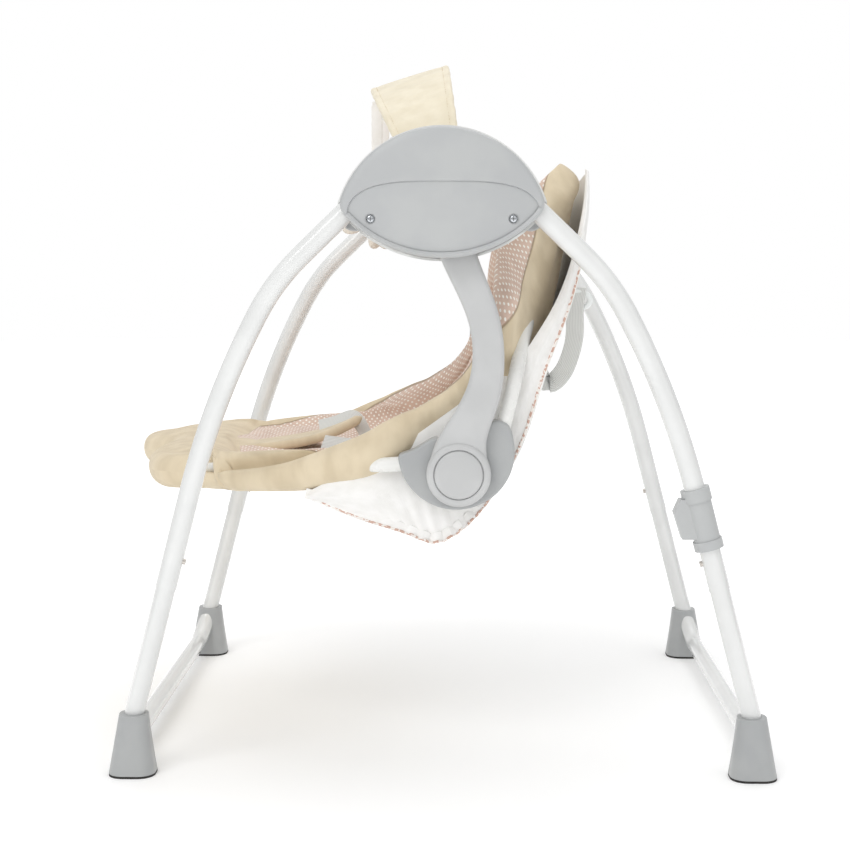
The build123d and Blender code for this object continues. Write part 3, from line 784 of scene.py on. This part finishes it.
def arm(name):
    inner = smooth(ARM_FRONT, ARM_ROWS)
    outer = smooth(ARM_REAR, ARM_ROWS)
    across = outer - inner
    width = np.linalg.norm(across, axis=1)
    middle_line = (inner + outer) / 2
    depth = np.full(ARM_ROWS, -(ARM_Y + ARM_THICK / 2))
    path = np.stack([middle_line[:, 0], depth, middle_line[:, 1]], axis=1)
    side = np.stack([across[:, 0], np.zeros(ARM_ROWS), across[:, 1]], axis=1) / width[:, None]
    sections = np.stack([crowned(w, ARM_THICK, 4.5) for w in width])
    return sweep(name, path, sections, side)


def crowned(width, height, corner):
    """A rounded box whose two broad faces bulge a little."""
    section = rounded_box(width, height, corner, 5)
    extra = []
    for part in (0.75, 0.5, 0.25, 0.0, -0.25, -0.5, -0.75):
        extra.append((part * (width / 2 - corner), height / 2))
    top = [p for p in section if p[1] > 0 and p[0] > 0]
    rest = [p for p in section if p[1] > 0 and p[0] <= 0]
    below = [p for p in section if p[1] <= 0 and p[0] <= 0]
    last = [p for p in section if p[1] <= 0 and p[0] > 0]
    under = [(-x, -y) for x, y in extra]
    ring = np.array(top + extra + rest + below + under + last)
    lift = 1.2 * (1 - (2 * ring[:, 0] / width) ** 2) * np.sign(ring[:, 1])
    broad = np.abs(ring[:, 1]) > height / 2 - 0.5
    return np.stack([ring[:, 0], ring[:, 1] + np.where(broad, lift, 0)], axis=1)


def hub_ring(name):
    """The ring at the arm's foot, with a groove round the cap."""
    face = -(ARM_Y + ARM_THICK)
    rings = [(6, 12.5), (HUB_R - 3, 12.5), (HUB_R, 10), (HUB_R, -0.5), (HUB_R - 1.2, -2.6),
             (HUB_R - 3.4, -3.6), (27.4, -3.9), (26.6, -3.4), (26.3, -1.5), (25.0, -1.4)]
    return turned(name, [(radius, face + y) for radius, y in rings], HUB_X, HUB_Z)


def hub_cap(name):
    face = -(ARM_Y + ARM_THICK)
    rings = [(25.5, 1), (25.5, -3.6), (25.0, -4.4), (24.0, -4.9), (20.0, -5.6), (12.0, -6.2), (4.0, -6.5),
             (0.5, -6.5)]
    return turned(name, [(radius, face + y) for radius, y in rings], HUB_X, HUB_Z)


BRACKET_X = 15.0
BRACKET_Z = 347.0
BRACKET_R = 62.0


def bracket(name):
    """The cradle plate behind the hub: round below, with a raised lug at its head end."""
    sweep_turn = np.linspace(math.radians(183), math.radians(372), 48)
    arc = [(BRACKET_X + BRACKET_R * math.cos(a), BRACKET_Z + BRACKET_R * math.sin(a)) for a in sweep_turn]
    lug = [(69, 377), (58, 381), (47, 376), (36, 358), (12, 354), (-6, 362), (-26, 352)]
    top = smooth([arc[-1]] + lug + [arc[0]], 40)
    outline = arc + [tuple(p) for p in top[1:-1]]
    return plate(name, outline, -249.5, -228.0, 3.5)


def arms():
    for piece, slot, paint, node in (
        (arm("left_swing_arm"), "arm_plastic", ARM, "left_arm"),
        (hub_ring("left_hub_ring"), "arm_plastic", ARM, None),
        (hub_cap("left_hub_cap"), "arm_plastic", ARM, None),
        (bracket("left_cradle"), "dark_grey_plastic", BRACKET, "left_seat_bracket"),
    ):
        other = twin(piece, piece.name.replace("left", "right"))
        settle(piece, "swing", slot, paint, *([node] if node else []))
        settle(other, "swing", slot, paint, *([node.replace("left", "right")] if node else []))
        if piece.name == "left_hub_cap":
            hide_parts("hub_caps")


# ------------------------------------------------------------ the pad

# Side view of the pad from the foot end to the top of the backrest: the middle of the padding
# halfway across, and the top edge of its rim.
SPINE = [(-352, 314), (-300, 314), (-240, 314), (-172, 312), (-115, 300), (-70, 286), (-30, 279), (8, 284),
         (38, 310), (58, 355), (79, 410), (99, 470), (117, 540), (128, 600), (136, 655)]
RIDGE = [(-352, 318), (-300, 320), (-240, 323), (-172, 332), (-125, 348), (-82, 367), (-41, 386), (-8, 402),
         (20, 426), (40, 458), (56, 500), (58, 545), (72, 590), (108, 636), (134, 658)]
HALF_WIDTH = [172, 183, 192, 209, 222, 227, 208, 199, 197, 201, 215, 200, 183, 170, 154]
RIM_R = [20, 21, 21, 21, 20, 20, 19, 17, 17, 20, 22, 23, 23, 21, 15]
SEAM_IN = [44, 44, 44, 26, 8, 3, 1, 0, -4, -12, -24, -34, -34, -10, 20]  # from the rim's edge in to the seam
HALF_RUN = 240.0  # from the rim's edge to the pad's middle, along the cloth
ALONG_RUN = 830.0
EDGE_STEPS = [0.0, 1.5, 4.5, 9.0, 14.5, 20.5]
PITCH = 6.8
FOOT_OUTLINE = [(-175, 84), (-150, 36), (-120, 13), (-92, 5), (-62, 6), (-30, 9), (0, 12), (28, -4), (62, -28),
                (98, -36), (130, -24), (155, 12), (175, 66)]  # (y, how far the foot edge is drawn in)


def spaced(total):
    """Places from 0 to total, close together at both ends."""
    inner = np.arange(EDGE_STEPS[-1] + PITCH, total / 2, PITCH)
    half = np.concatenate([EDGE_STEPS, inner])
    return np.concatenate([half, total - half[::-1]])


def along_values(values, at):
    return natural_cubic(np.arange(len(values), dtype=float), np.array(values, float), at)


class Stations:
    """Side-view lines and widths of the pad at each of its rows."""

    def __init__(self):
        fine = np.linspace(0, len(SPINE) - 1, 900)
        dense = np.stack([along_values([p[k] for p in SPINE], fine) for k in range(2)], axis=1)
        run = run_of(dense)
        self.run = spaced(ALONG_RUN) * run[-1] / ALONG_RUN
        at = np.interp(self.run, run, fine)
        self.spine = np.stack([along_values([p[k] for p in SPINE], at) for k in range(2)], axis=1)
        self.ridge = np.stack([along_values([p[k] for p in RIDGE], at) for k in range(2)], axis=1)
        self.width = along_values(HALF_WIDTH, at)
        self.rim = along_values(RIM_R, at)
        self.seam = along_values(SEAM_IN, at)


# Half sections across the seat and the backrest, as (share of the half width, share of the rim's rise)
SEAT_SECTION = [(0, 0), (0.42, 0.0), (0.66, 0.06), (0.82, 0.28), (0.93, 0.5), (1.0, 0.74), (0.99, 1.0)]
BACK_SECTION = [(0, 0), (0.50, 0.0), (0.86, 0.02), (0.97, 0.12), (1.0, 0.40), (0.99, 0.74), (0.96, 1.0)]
BACK_BEGINS = (330, 430)  # heights between which the seat's section turns into the backrest's
TROUGH_Y = 88.0
TROUGH_DEPTH = 9.0
CROTCH_LIFT = 4.0
PUCKER = 2.6  # height of the lining's rumples at the hips
LOBE_RUN = 125.0  # how far along the cloth the foot end's outline reaches
SHOULDER_RUN = 130.0
SHOULDER_DROP = 5.0
QUILT = 9.5  # half the padding's thickness away from the rim
LOBE_EXTRA = 10.0
END_ROUND = 16.0
TOP_SEAM = 44.0  # from the backrest's top edge down to the lining


def half_section(width, rise, upright):
    """Half of the padding's middle line across the swing, as (y, rise), thickly sampled."""
    corners = np.array(SEAT_SECTION) * (1 - upright) + np.array(BACK_SECTION) * upright
    return smooth(corners * (width, rise), 120)


def middle_surface(stations, share):
    """Points on the middle of the padding. share runs from -1 at the left rim to 1 at the right."""
    rows = []
    for i in range(len(stations.run)):
        away = stations.ridge[i] - stations.spine[i]
        rise = np.linalg.norm(away)
        line = half_section(stations.width[i], rise, step(*BACK_BEGINS, stations.spine[i, 1]))
        run = run_of(line)
        y = np.interp(np.abs(share) * run[-1], run, line[:, 0]) * np.sign(share)
        lift = np.interp(np.abs(share) * run[-1], run, line[:, 1]) / rise
        foot = step(-275, -225, stations.spine[i, 0]) * (1 - step(-120, -40, stations.spine[i, 0]))
        troughs = CROTCH_LIFT * bump(y, 34) - TROUGH_DEPTH * bump(np.abs(y) - TROUGH_Y, 42)
        x = stations.spine[i, 0] + away[0] * lift
        z = stations.spine[i, 1] + away[1] * lift + foot * troughs
        rows.append(np.stack([x, y, z], axis=1))
    grid = np.array(rows)
    draw_in_ends(grid, stations, share)
    hips = step(-150, -60, grid[..., 0]) * (1 - step(430, 520, grid[..., 2]))
    grid[..., 2] += PUCKER * hips * rough(grid * (1.0, 0.6, 1.0), 24, 5)
    return grid


def draw_in_ends(grid, stations, share):
    """Rounds the foot end into two lobes and the head end into shoulders."""
    y, inset = np.array(FOOT_OUTLINE, float).T
    total = stations.run[-1]
    for i, run in enumerate(stations.run):
        foot = 1 - step(0, LOBE_RUN, run)
        grid[i, :, 0] += foot * natural_cubic(y, inset, grid[i, :, 1])
        head = 1 - step(0, SHOULDER_RUN, total - run)
        grid[i, :, 2] -= head * SHOULDER_DROP * np.abs(share) ** 3


def normals(grid):
    down = np.gradient(grid, axis=0)
    across = np.gradient(grid, axis=1)
    normal = np.cross(down, across)
    return normal / np.maximum(np.linalg.norm(normal, axis=2), 1e-9)[..., None]


def thickness(distance, rim, end_gap, lobe):
    """Half the padding's thickness at a distance in from the rim's edge. lobe is 1 in the foot lobes."""
    edge = np.sqrt(np.clip(1 - (1 - np.clip(distance / rim, 0, 1)) ** 2, 0, 1))
    flat = QUILT + LOBE_EXTRA * lobe
    bolster = flat + (rim - flat) * (1 - step(26, 50, distance))
    ends = np.sqrt(np.clip(1 - (1 - np.clip(end_gap / END_ROUND, 0, 1)) ** 2, 0, 1))
    return edge * bolster * ends


def pad(name):
    stations = Stations()
    half = spaced(2 * HALF_RUN)
    share = half / HALF_RUN - 1
    grid = middle_surface(stations, share)
    normal = normals(grid)
    distance = np.minimum(half, 2 * HALF_RUN - half)
    end_gap = np.minimum(stations.run, stations.run[-1] - stations.run)
    run = stations.run[:, None]
    lobe = 1 - step(60, 150, run)
    thick = thickness(distance[None, :], stations.rim[:, None], end_gap[:, None], lobe)
    seam = stations.seam[:, None] + foot_lobe_seam(grid)
    top = grid + normal * (thick + pleats(distance[None, :] - seam, run, thick))[..., None]
    under = grid - normal * (thick + 0.8 * pleats(distance[None, :], run, thick))[..., None]
    rows, columns = thick.shape
    loop = np.concatenate([top, under[:, -2:0:-1]], axis=1)
    inward = np.concatenate([distance, -distance[-2:0:-1]])
    wide = loop.shape[1]
    faces = grid_faces(rows, wide, True)
    for row in (0, rows - 1):
        for j in range(columns - 1):
            pair = (row * wide + j, row * wide + j + 1)
            mate = (row * wide + (wide - j - 1) % wide, row * wide + (wide - j) % wide)
            corners = list(dict.fromkeys(pair + mate))
            if len(corners) > 2:
                faces.append(tuple(corners))
    cloth = [(q, r) for r in stations.run for q in inward]
    piece = build(name, loop.reshape(-1, 3), faces, cloth)
    below = -distance[None, -2:0:-1] - stations.seam[:, None]
    lining = np.concatenate([distance[None, :] - seam, below], axis=1)
    to_head = stations.run[-1] - run
    store(piece, "lining", np.minimum(lining, to_head - TOP_SEAM))
    weld(piece)
    return shade(piece, 180)


def foot_lobe_seam(grid):
    """Extra distance from rim to seam over the foot end, where only two leg troughs are lined."""
    x = grid[..., 0]
    y = np.abs(grid[..., 1])
    foot = step(-262, -222, x + 20 * step(0, 60, grid[..., 1]))
    tongue = bump(y, 30) * (1 - step(-150, -128, x))
    return 260 * (1 - foot) + 200 * step(0.35, 0.6, tongue)


def pleats(gap, run, thick):
    """Small gathers beside the seam."""
    wave = np.sin(run / 2.6 + 2.2 * np.sin(run / 31.0)) * (0.6 + 0.4 * np.sin(run / 17.0))
    return 1.1 * wave * bump(gap - 6, 14) * np.clip(thick / 10, 0, 1)


def store(piece, name, values):
    attribute = piece.data.attributes.new(name, "FLOAT", "POINT")
    attribute.data.foreach_set("value", np.asarray(values, np.float32).ravel())


def weld(piece):
    form = bmesh.new()
    form.from_mesh(piece.data)
    bmesh.ops.remove_doubles(form, verts=form.verts, dist=0.00002)
    form.to_mesh(piece.data)
    form.free()


def plump(piece, pressure, limit, hold):
    """Blows a closed cushion up with the cloth solver, its held points fixed."""
    before = np.array([v.co[:] for v in piece.data.vertices])
    group = piece.vertex_groups.new(name="held")
    for index in np.nonzero(hold)[0]:
        group.add([int(index)], 1.0, "REPLACE")
    modifier = piece.modifiers.new("cloth", "CLOTH")
    settings = modifier.settings
    settings.vertex_group_mass = "held"
    settings.use_pressure = True
    settings.uniform_pressure_force = pressure
    settings.effector_weights.gravity = 0
    settings.quality = 4
    settings.tension_stiffness = 12
    settings.compression_stiffness = 12
    settings.bending_stiffness = 0.6
    for tick in range(1, 17):
        bpy.context.scene.frame_set(tick)
    freeze(piece)
    bpy.context.scene.frame_set(1)
    after = np.array([v.co[:] for v in piece.data.vertices])
    move = after - before
    length = np.linalg.norm(move, axis=1)[:, None]
    move *= np.minimum(1, limit * MM / np.maximum(length, 1e-9))
    piece.data.vertices.foreach_set("co", (before + move).ravel())


def values_of(piece, name):
    data = piece.data.attributes[name].data
    values = np.zeros(len(data), np.float32)
    data.foreach_get("value", values)
    return values


def seat_pad():
    piece = pad("seat_and_back_pad")
    lining = values_of(piece, "lining")
    plump(piece, 4.0, 5.0, np.abs(lining) < 3.5)
    apply(piece, "SUBSURF", levels=1)
    shade(piece, 180)
    settle(piece, None, "beige_fabric", PAD, "seat_pad", "back_pad")
    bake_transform(piece)


# ------------------------------------------------------------ the white sling

SLING_LOW = [(-144, 293), (-88, 272), (-35, 254), (-2, 245), (36, 272), (64, 312), (86, 356), (108, 425),
             (132, 488), (149, 550), (157, 605), (158, 645)]
SLING_HIGH = [(-149, 298), (-110, 318), (-66, 336), (-30, 360), (8, 388), (42, 412), (74, 432), (96, 462),
              (122, 506), (141, 560), (152, 611), (155, 648)]
SLING_HALF = [212, 227, 223, 218, 214, 212, 213, 215, 209, 200, 186, 164]
SLING_ROWS = 150


def sling_lines():
    at = np.linspace(0, len(SLING_LOW) - 1, SLING_ROWS)
    low = np.stack([along_values([p[k] for p in SLING_LOW], at) for k in range(2)], axis=1)
    high = np.stack([along_values([p[k] for p in SLING_HIGH], at) for k in range(2)], axis=1)
    return low, high, along_values(SLING_HALF, at)


def gathers(x):
    """How strongly the hem is gathered, most under the middle of the seat."""
    return 0.12 + 1.1 * bump(x - 8, 42)


def sling(name):
    """One sheet: under the seat, up both sides to the pad's rim, and up behind the backrest."""
    low, high, half = sling_lines()
    run = run_of(low)
    rows = []
    for i in range(SLING_ROWS):
        pull = gathers(low[i, 0]) * math.sin(run[i] / 2.3)
        side = []
        for part in np.linspace(0, 1, 10):
            x, z = high[i] * (1 - part) + low[i] * part
            out = half[i] + 5 * math.sin(math.pi * part) + 1.6 * pull * part**2
            side.append((x, -out, z))
        x, z = low[i]
        floor = []
        for part in np.linspace(-1, 1, 30)[1:-1]:
            sag = 4 * (1 - part**2) + 1.2 * pull * part**6
            floor.append((x, part * (half[i] - 2), z - sag))
        rows.append(side + floor + [(x, -y, z) for x, y, z in reversed(side)])
    grid = np.array(rows)
    grid[..., 2] += 1.5 * rough(grid, 60, 2)
    columns = grid.shape[1]
    across = run_of(grid[40])
    cloth = [(a, r) for r in run for a in across]
    piece = build(name, grid.reshape(-1, 3), grid_faces(SLING_ROWS, columns, False), cloth)
    shade(piece, 180)
    apply(piece, "SOLIDIFY", thickness=1.2 * MM, offset=0)
    return shade(piece, 60)


def hem_path(offset, drop=0.0):
    """Along the sling's lower left edge."""
    low, high, half = sling_lines()
    run = run_of(low)
    path = []
    for i in range(SLING_ROWS):
        if low[i, 1] > 560 and low[i, 0] > 0:
            break
        pull = gathers(low[i, 0]) * math.sin(run[i] / 2.3)
        up = (high[i] - low[i]) / max(np.linalg.norm(high[i] - low[i]), 1e-6)
        x, z = low[i] + up * drop
        path.append((x, -(half[i] + offset + 1.6 * pull), z + 0.9 * pull))
    return np.array(path)


def sling_set():
    piece = sling("seat_sling_cloth")
    trims = []
    hem = hem_path(1.4, 6.0)
    up = np.gradient(hem, axis=0)
    up = np.cross(up, (0, 1, 0))
    up /= np.linalg.norm(up, axis=1)[:, None]
    trims.append((sweep("left_sling_hem", hem, rounded_box(12.0, 2.2, 1.0), up), WHITE_CLOTH))
    trims.append((sweep("left_sling_piping", hem_path(2.4, 1.0), circle(1.4)), PIPING))
    for trim, paint in list(trims):
        trims.append((twin(trim, trim.name.replace("left", "right")), paint))
    for part, paint in [(piece, WHITE_CLOTH)] + trims:
        settle(part, None, "white_fabric", paint)
        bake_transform(part)
    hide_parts("seat_sling")


# ------------------------------------------------------------ stitching


def stitches(name, path, length=3.2, gap=1.8, radius=0.45):
    """A row of short raised stitches along a path."""
    run = run_of(path)
    starts = np.arange(gap, run[-1] - length, length + gap)
    ring = circle(radius, 6)
    points = []
    faces = []
    for start in starts:
        ends = [np.array([np.interp(start + k * length, run, column) for column in path.T]) for k in (0, 0.5, 1)]
        along = ends[2] - ends[0]
        along /= np.linalg.norm(along)
        side = np.cross(along, (0.31, 0.22, 0.92))
        side /= np.linalg.norm(side)
        up = np.cross(side, along)
        base = len(points)
        for centre, scale in zip(ends, (0.35, 1.0, 0.35)):
            points.extend(centre + scale * (a * side + b * up) for a, b in ring)
        for j in range(6):
            k = (j + 1) % 6
            faces.append((base + j, base + k, base + 6 + k, base + 6 + j))
            faces.append((base + 6 + j, base + 6 + k, base + 12 + k, base + 12 + j))
        faces.append(tuple(base + j for j in reversed(range(6))))
        faces.append(tuple(base + 12 + j for j in range(6)))
    return shade(build(name, points, faces), 180)


# ------------------------------------------------------------ toy bar and toys

BAR_Z = middle("toy_bar_ends").z
BAR_TILT = math.radians(17.0)
BAR_HALF_SPAN = 214.0
BAR_RISE = 140.0
BAR_WIDTH_LOW = 50.0
BAR_WIDTH_HIGH = 103.0
SLEEVE_THICK = 9.0
TOY_SPACING = 92.0
RIBBON = 76.0
TOY_R = 46.0
BAR_UP = np.array([-math.sin(BAR_TILT), 0, math.cos(BAR_TILT)])
BAR_ALONG = np.array([math.cos(BAR_TILT), 0, math.sin(BAR_TILT)])


def bar_point(turn, along=0.0, out=0.0):
    """A place on the toy bar: round the arch, across its width, and out from its middle."""
    y = -(BAR_HALF_SPAN + out) * math.cos(turn)
    rise = (BAR_RISE + out) * math.sin(turn)
    return np.array([0, y, BAR_Z]) + BAR_UP * rise + BAR_ALONG * along


def bar_width(turn):
    return BAR_WIDTH_LOW + (BAR_WIDTH_HIGH - BAR_WIDTH_LOW) * BAR_RISE / 160 * math.sin(turn)


def hemmed(width):
    """Section of the sleeve: a slim band with a hem sewn down along both edges."""
    half = width / 2
    face = [(half - 0.4, 2.2), (half - 2.0, 4.0), (half - 6.4, 4.3), (half - 8.0, 3.1), (half - 9.6, 4.0)]
    face.append((half * 0.4, 4.4))
    mirror = [(-x, y) for x, y in reversed(face)]
    top = face + [(0, 4.5)] + mirror
    return np.array(top + [(x, -y) for x, y in reversed(top)])


BAR_TURNS = np.linspace(math.radians(9), math.radians(171), 120)


def bar_ripple(turn):
    return 0.8 * math.sin(turn * 41) * math.sin(turn * 7) + 0.5 * math.sin(turn * 97)


def sleeve(name):
    path = [bar_point(turn, out=0.6 * bar_ripple(turn)) for turn in BAR_TURNS]
    sections = np.stack([hemmed(bar_width(turn) + bar_ripple(turn)) for turn in BAR_TURNS])
    piece = sweep(name, path, sections, BAR_ALONG)
    apply(piece, "SUBSURF", levels=1)
    return shade(piece, 60)


def bar_stitches(name, edge):
    """Stitches of one hem, on the sleeve's outer face."""
    line = [bar_point(turn, edge * (bar_width(turn) / 2 - 8.0), 3.5) for turn in BAR_TURNS]
    return stitches(name, np.array(line))


def toy_hook(y):
    inner = BAR_RISE - SLEEVE_THICK / 2
    rise = inner * math.sqrt(1 - (y / (BAR_HALF_SPAN - SLEEVE_THICK / 2)) ** 2) - 3.0
    return np.array([0, y, BAR_Z]) + BAR_UP * rise - BAR_ALONG * (BAR_WIDTH_HIGH / 2 - 8)


def star(name, centre, radius, thick, lean):
    """A plump five-pointed star facing along Y."""
    turn = np.linspace(0, 2 * math.pi, 80, endpoint=False)
    reach = radius * (0.72 + 0.28 * np.cos(5 * (turn - lean)))
    points = []
    for side in (1, -1):
        for part in (0.04, 0.25, 0.45, 0.65, 0.8, 0.9, 0.97, 1.0)[:: 1 if side > 0 else -1]:
            if side < 0 and part == 1.0:
                continue
            bulge = thick / 2 * (1 - part**2.6) ** 0.6
            for a, r in zip(turn, reach):
                x = part * r * math.cos(a)
                z = part * r * math.sin(a)
                points.append((centre[0] + x, centre[1] + side * bulge, centre[2] + z))
    faces = grid_faces(15, 80, True)
    faces.append(tuple(range(80)))
    faces.append(tuple(range(14 * 80, 15 * 80)))
    cloth = [(x, z) for x, _, z in points]
    return shade(build(name, points, faces, cloth), 180)


def toys():
    for name, place_across, lean in (("left_toy", -1, 68), ("middle_toy", 0, 58), ("right_toy", 1, 34)):
        y = place_across * TOY_SPACING
        hook = toy_hook(y)
        centre = hook - (0, 0, RIBBON + TOY_R - 2)
        body = star(name + "_star", centre, TOY_R, 24.0, math.radians(lean))
        low = centre + (0, 0, 0.4 * TOY_R)
        path = [hook - (0, 0, 3), hook - (0, 0, 20), hook - (0, 0, 55), low]
        ribbon = sweep(name + "_ribbon", smooth(path, 24), rounded_box(12.0, 1.2, 0.5), (1, 0, 0))
        settle(body, name + "_body", "toy_fabric", DOTTED_CLOTH if y == 0 else TOY_CLOTH, name)
        settle(ribbon, name + "_body", "toy_fabric", WHITE_CLOTH)


def toy_bar():
    cover_piece = settle(sleeve("toy_bar_cover"), "toy_bar", "beige_fabric", BAR_CLOTH, "toy_bar_sleeve")
    for name, edge in (("toy_bar_front_stitches", -1), ("toy_bar_rear_stitches", 1)):
        settle(bar_stitches(name, edge), "toy_bar", "beige_fabric", BEIGE_CLOTH)
    toys()


# ------------------------------------------------------------ cushions and harness


def cushion(name, centre, wide, tall, half_wide, half_tall, thick, pinch=3.0):
    """A pillow with a sewn edge. wide and tall are its directions, thick its greatest depth."""
    wide = np.array(wide, float) / np.linalg.norm(wide)
    tall = np.array(tall, float) / np.linalg.norm(tall)
    out = np.cross(tall, wide)
    steps = np.sin(np.linspace(-math.pi / 2, math.pi / 2, 33))
    points = []
    for side in (1, -1):
        for v in steps:
            for u in steps:
                depth = thick / 2 * ((1 - abs(u) ** pinch) * (1 - abs(v) ** pinch)) ** 0.55
                draw = 1 - 0.06 * (1 - abs(u * v)) * max(abs(u), abs(v)) ** 4
                place_at = np.array(centre) + wide * u * half_wide * draw + tall * v * half_tall * draw
                points.append(place_at + out * side * depth)
    count = len(steps)
    faces = grid_faces(count, count, False)
    faces += [tuple(count * count + i for i in reversed(face)) for face in grid_faces(count, count, False)]
    cloth = [(u * half_wide, v * half_tall) for _ in range(2) for v in steps for u in steps]
    piece = build(name, points, faces, cloth)
    weld(piece)
    return shade(piece, 180)


def head_pillow():
    piece = cushion("head_cushion", (96, 0, 598), (0, 1, 0), (0.22, 0, 0.975), 102, 40, 40)
    settle(piece, "backrest", "dotted_fabric", DOTTED_CLOTH, "head_pillow")


TONGUE = [(-240, 322), (-200, 327), (-165, 333), (-140, 340), (-118, 349), (-100, 359)]
TONGUE_HALF = [26, 34, 35, 29, 18, 5]
TONGUE_ROWS = 44
TONGUE_THICK = 11.25


def tongue():
    """The padded flap between the thighs."""
    at = np.linspace(0, len(TONGUE) - 1, TONGUE_ROWS)
    line = np.stack([along_values([p[k] for p in TONGUE], at) for k in range(2)], axis=1)
    half = along_values(TONGUE_HALF, at)
    thick = TONGUE_THICK * (1 - 0.75 * step(TONGUE_ROWS - 4, TONGUE_ROWS - 1, np.arange(float(TONGUE_ROWS))))
    path = np.stack([line[:, 0], np.zeros(TONGUE_ROWS), line[:, 1]], axis=1)
    sections = np.stack([rounded_box(2 * h, t, min(t / 2, h) * 0.98, 6) for h, t in zip(half, thick)])
    piece = sweep("crotch_tongue", path, sections)
    apply(piece, "SUBSURF", levels=1)
    settle(piece, "swing", "beige_fabric", BEIGE_CLOTH, "crotch_flap")


STRAP = 25.0
STRAP_THICK = 1.7


def webbing(name, points, body, *nodes, side=(0, 1, 0), width=STRAP):
    piece = sweep(name, smooth(points, 60), rounded_box(width, STRAP_THICK, 0.7, 2), side)
    return settle(piece, body, "grey_webbing", WEBBING, *nodes)


BUCKLE_X = -52.0


def stack_faces(rows, columns):
    """Faces of a stack of rings, with both ends closed."""
    ends = [tuple(range(columns)), tuple(range((rows - 1) * columns, rows * columns))]
    return grid_faces(rows, columns, True) + ends


def buckle():
    """A three-way push buckle: its body and centre button."""
    outline = rounded_box(44, 40, 11, 6)
    points = [(BUCKLE_X + x * 0.86, y, 324.5 + 2.0 * (1 - (x / 22) ** 2)) for x, y in outline]
    points += [(BUCKLE_X + x, y, z) for z in (322, 313) for x, y in outline]
    body = shade(build("buckle_body", points, stack_faces(3, len(outline))), 30)
    apply(body, "BEVEL", width=1.4 * MM, segments=3, angle_limit=math.radians(40), harden_normals=True)
    settle(body, "swing", "buckle_plastic", BUCKLE, "harness_buckle")
    ring = rounded_box(20, 16, 7, 6)
    rise = ((1, 324), (1, 327.6), (0.86, 328.6), (0.5, 328.2))
    points = [(BUCKLE_X - 2 + x * scale, y * scale, z) for scale, z in rise for x, y in ring]
    button = shade(build("buckle_button", points, stack_faces(4, len(ring))), 35)
    settle(button, "swing", "buckle_plastic", RING)


def harness():
    waist_line = [(36, -168, 356), (12, -135, 314), (-16, -90, 304), (-38, -48, 310), (-50, -20, 318)]
    waist = webbing("left_waist_strap", waist_line, "swing", "waist_straps", side=(0.75, 0, 0.66))
    settle(twin(waist, "right_waist_strap"), "swing", "grey_webbing", WEBBING)
    tail = [(-66, -112, 322), (-92, -104, 332), (-120, -98, 336), (-140, -94, 338)]
    webbing("waist_strap_tail", tail, "swing", side=(0.1, 0.75, 0.66))
    crotch = [(-154, 20, 345), (-130, 20, 352), (-114, 17, 357), (-104, 12, 350), (-94, 6, 336),
              (-78, 2, 324)]
    webbing("crotch_webbing", crotch, "swing", "crotch_strap", side=(0.0, 0.8, 0.6))
    shoulder_line = [(60, -60, 436), (74, -56, 470), (89, -52, 515), (99, -50, 548), (112, -50, 566)]
    shoulder = webbing("left_shoulder_strap", shoulder_line, "backrest", "shoulder_straps")
    settle(twin(shoulder, "right_shoulder_strap"), "backrest", "grey_webbing", WEBBING)
    buckle()
    loop = [(160, -4, 516), (156, -8, 494), (156, -10, 462), (150, -8, 432), (138, 0, 408),
            (125, 8, 400), (115, 14, 414), (117, 16, 440), (124, 16, 460)]
    webbing("back_strap_loop", loop, "backrest", "strap_loop", side=(0.8, -0.6, 0))


def slide_ring():
    """The white ring that the rear strap is drawn through."""
    turn = np.linspace(0, 2 * math.pi, 48, endpoint=False)
    centre = np.array([160.0, -4.0, 501.0])
    wide = np.array([0.86, -0.51, 0])
    tall = np.array([0, 0, 1.0])
    normal = np.cross(wide, tall)
    rows = []
    for a in turn:
        point = centre + wide * 16 * math.cos(a) + tall * 10 * math.sin(a)
        out = wide * math.cos(a) / 16 + tall * math.sin(a) / 10
        out /= np.linalg.norm(out)
        rows.append([point + out * a1 + normal * b1 for a1, b1 in circle(3.2, 14)])
    grid = np.array(rows)
    count = grid.shape[1]
    last = grid.size // 3 - count
    joining = [(last + j, last + (j + 1) % count, (j + 1) % count, j) for j in range(count)]
    faces = grid_faces(len(turn), count, True) + joining
    piece = shade(build("strap_ring", grid.reshape(-1, 3), faces), 180)
    settle(piece, "backrest", "white_plastic", RING, "strap_slide")


# ------------------------------------------------------------ finishing

camera()
studio()
paint_frame()
housings()
arms()
seat_pad()
sling_set()
tongue()
head_pillow()
harness()
slide_ring()
toy_bar()
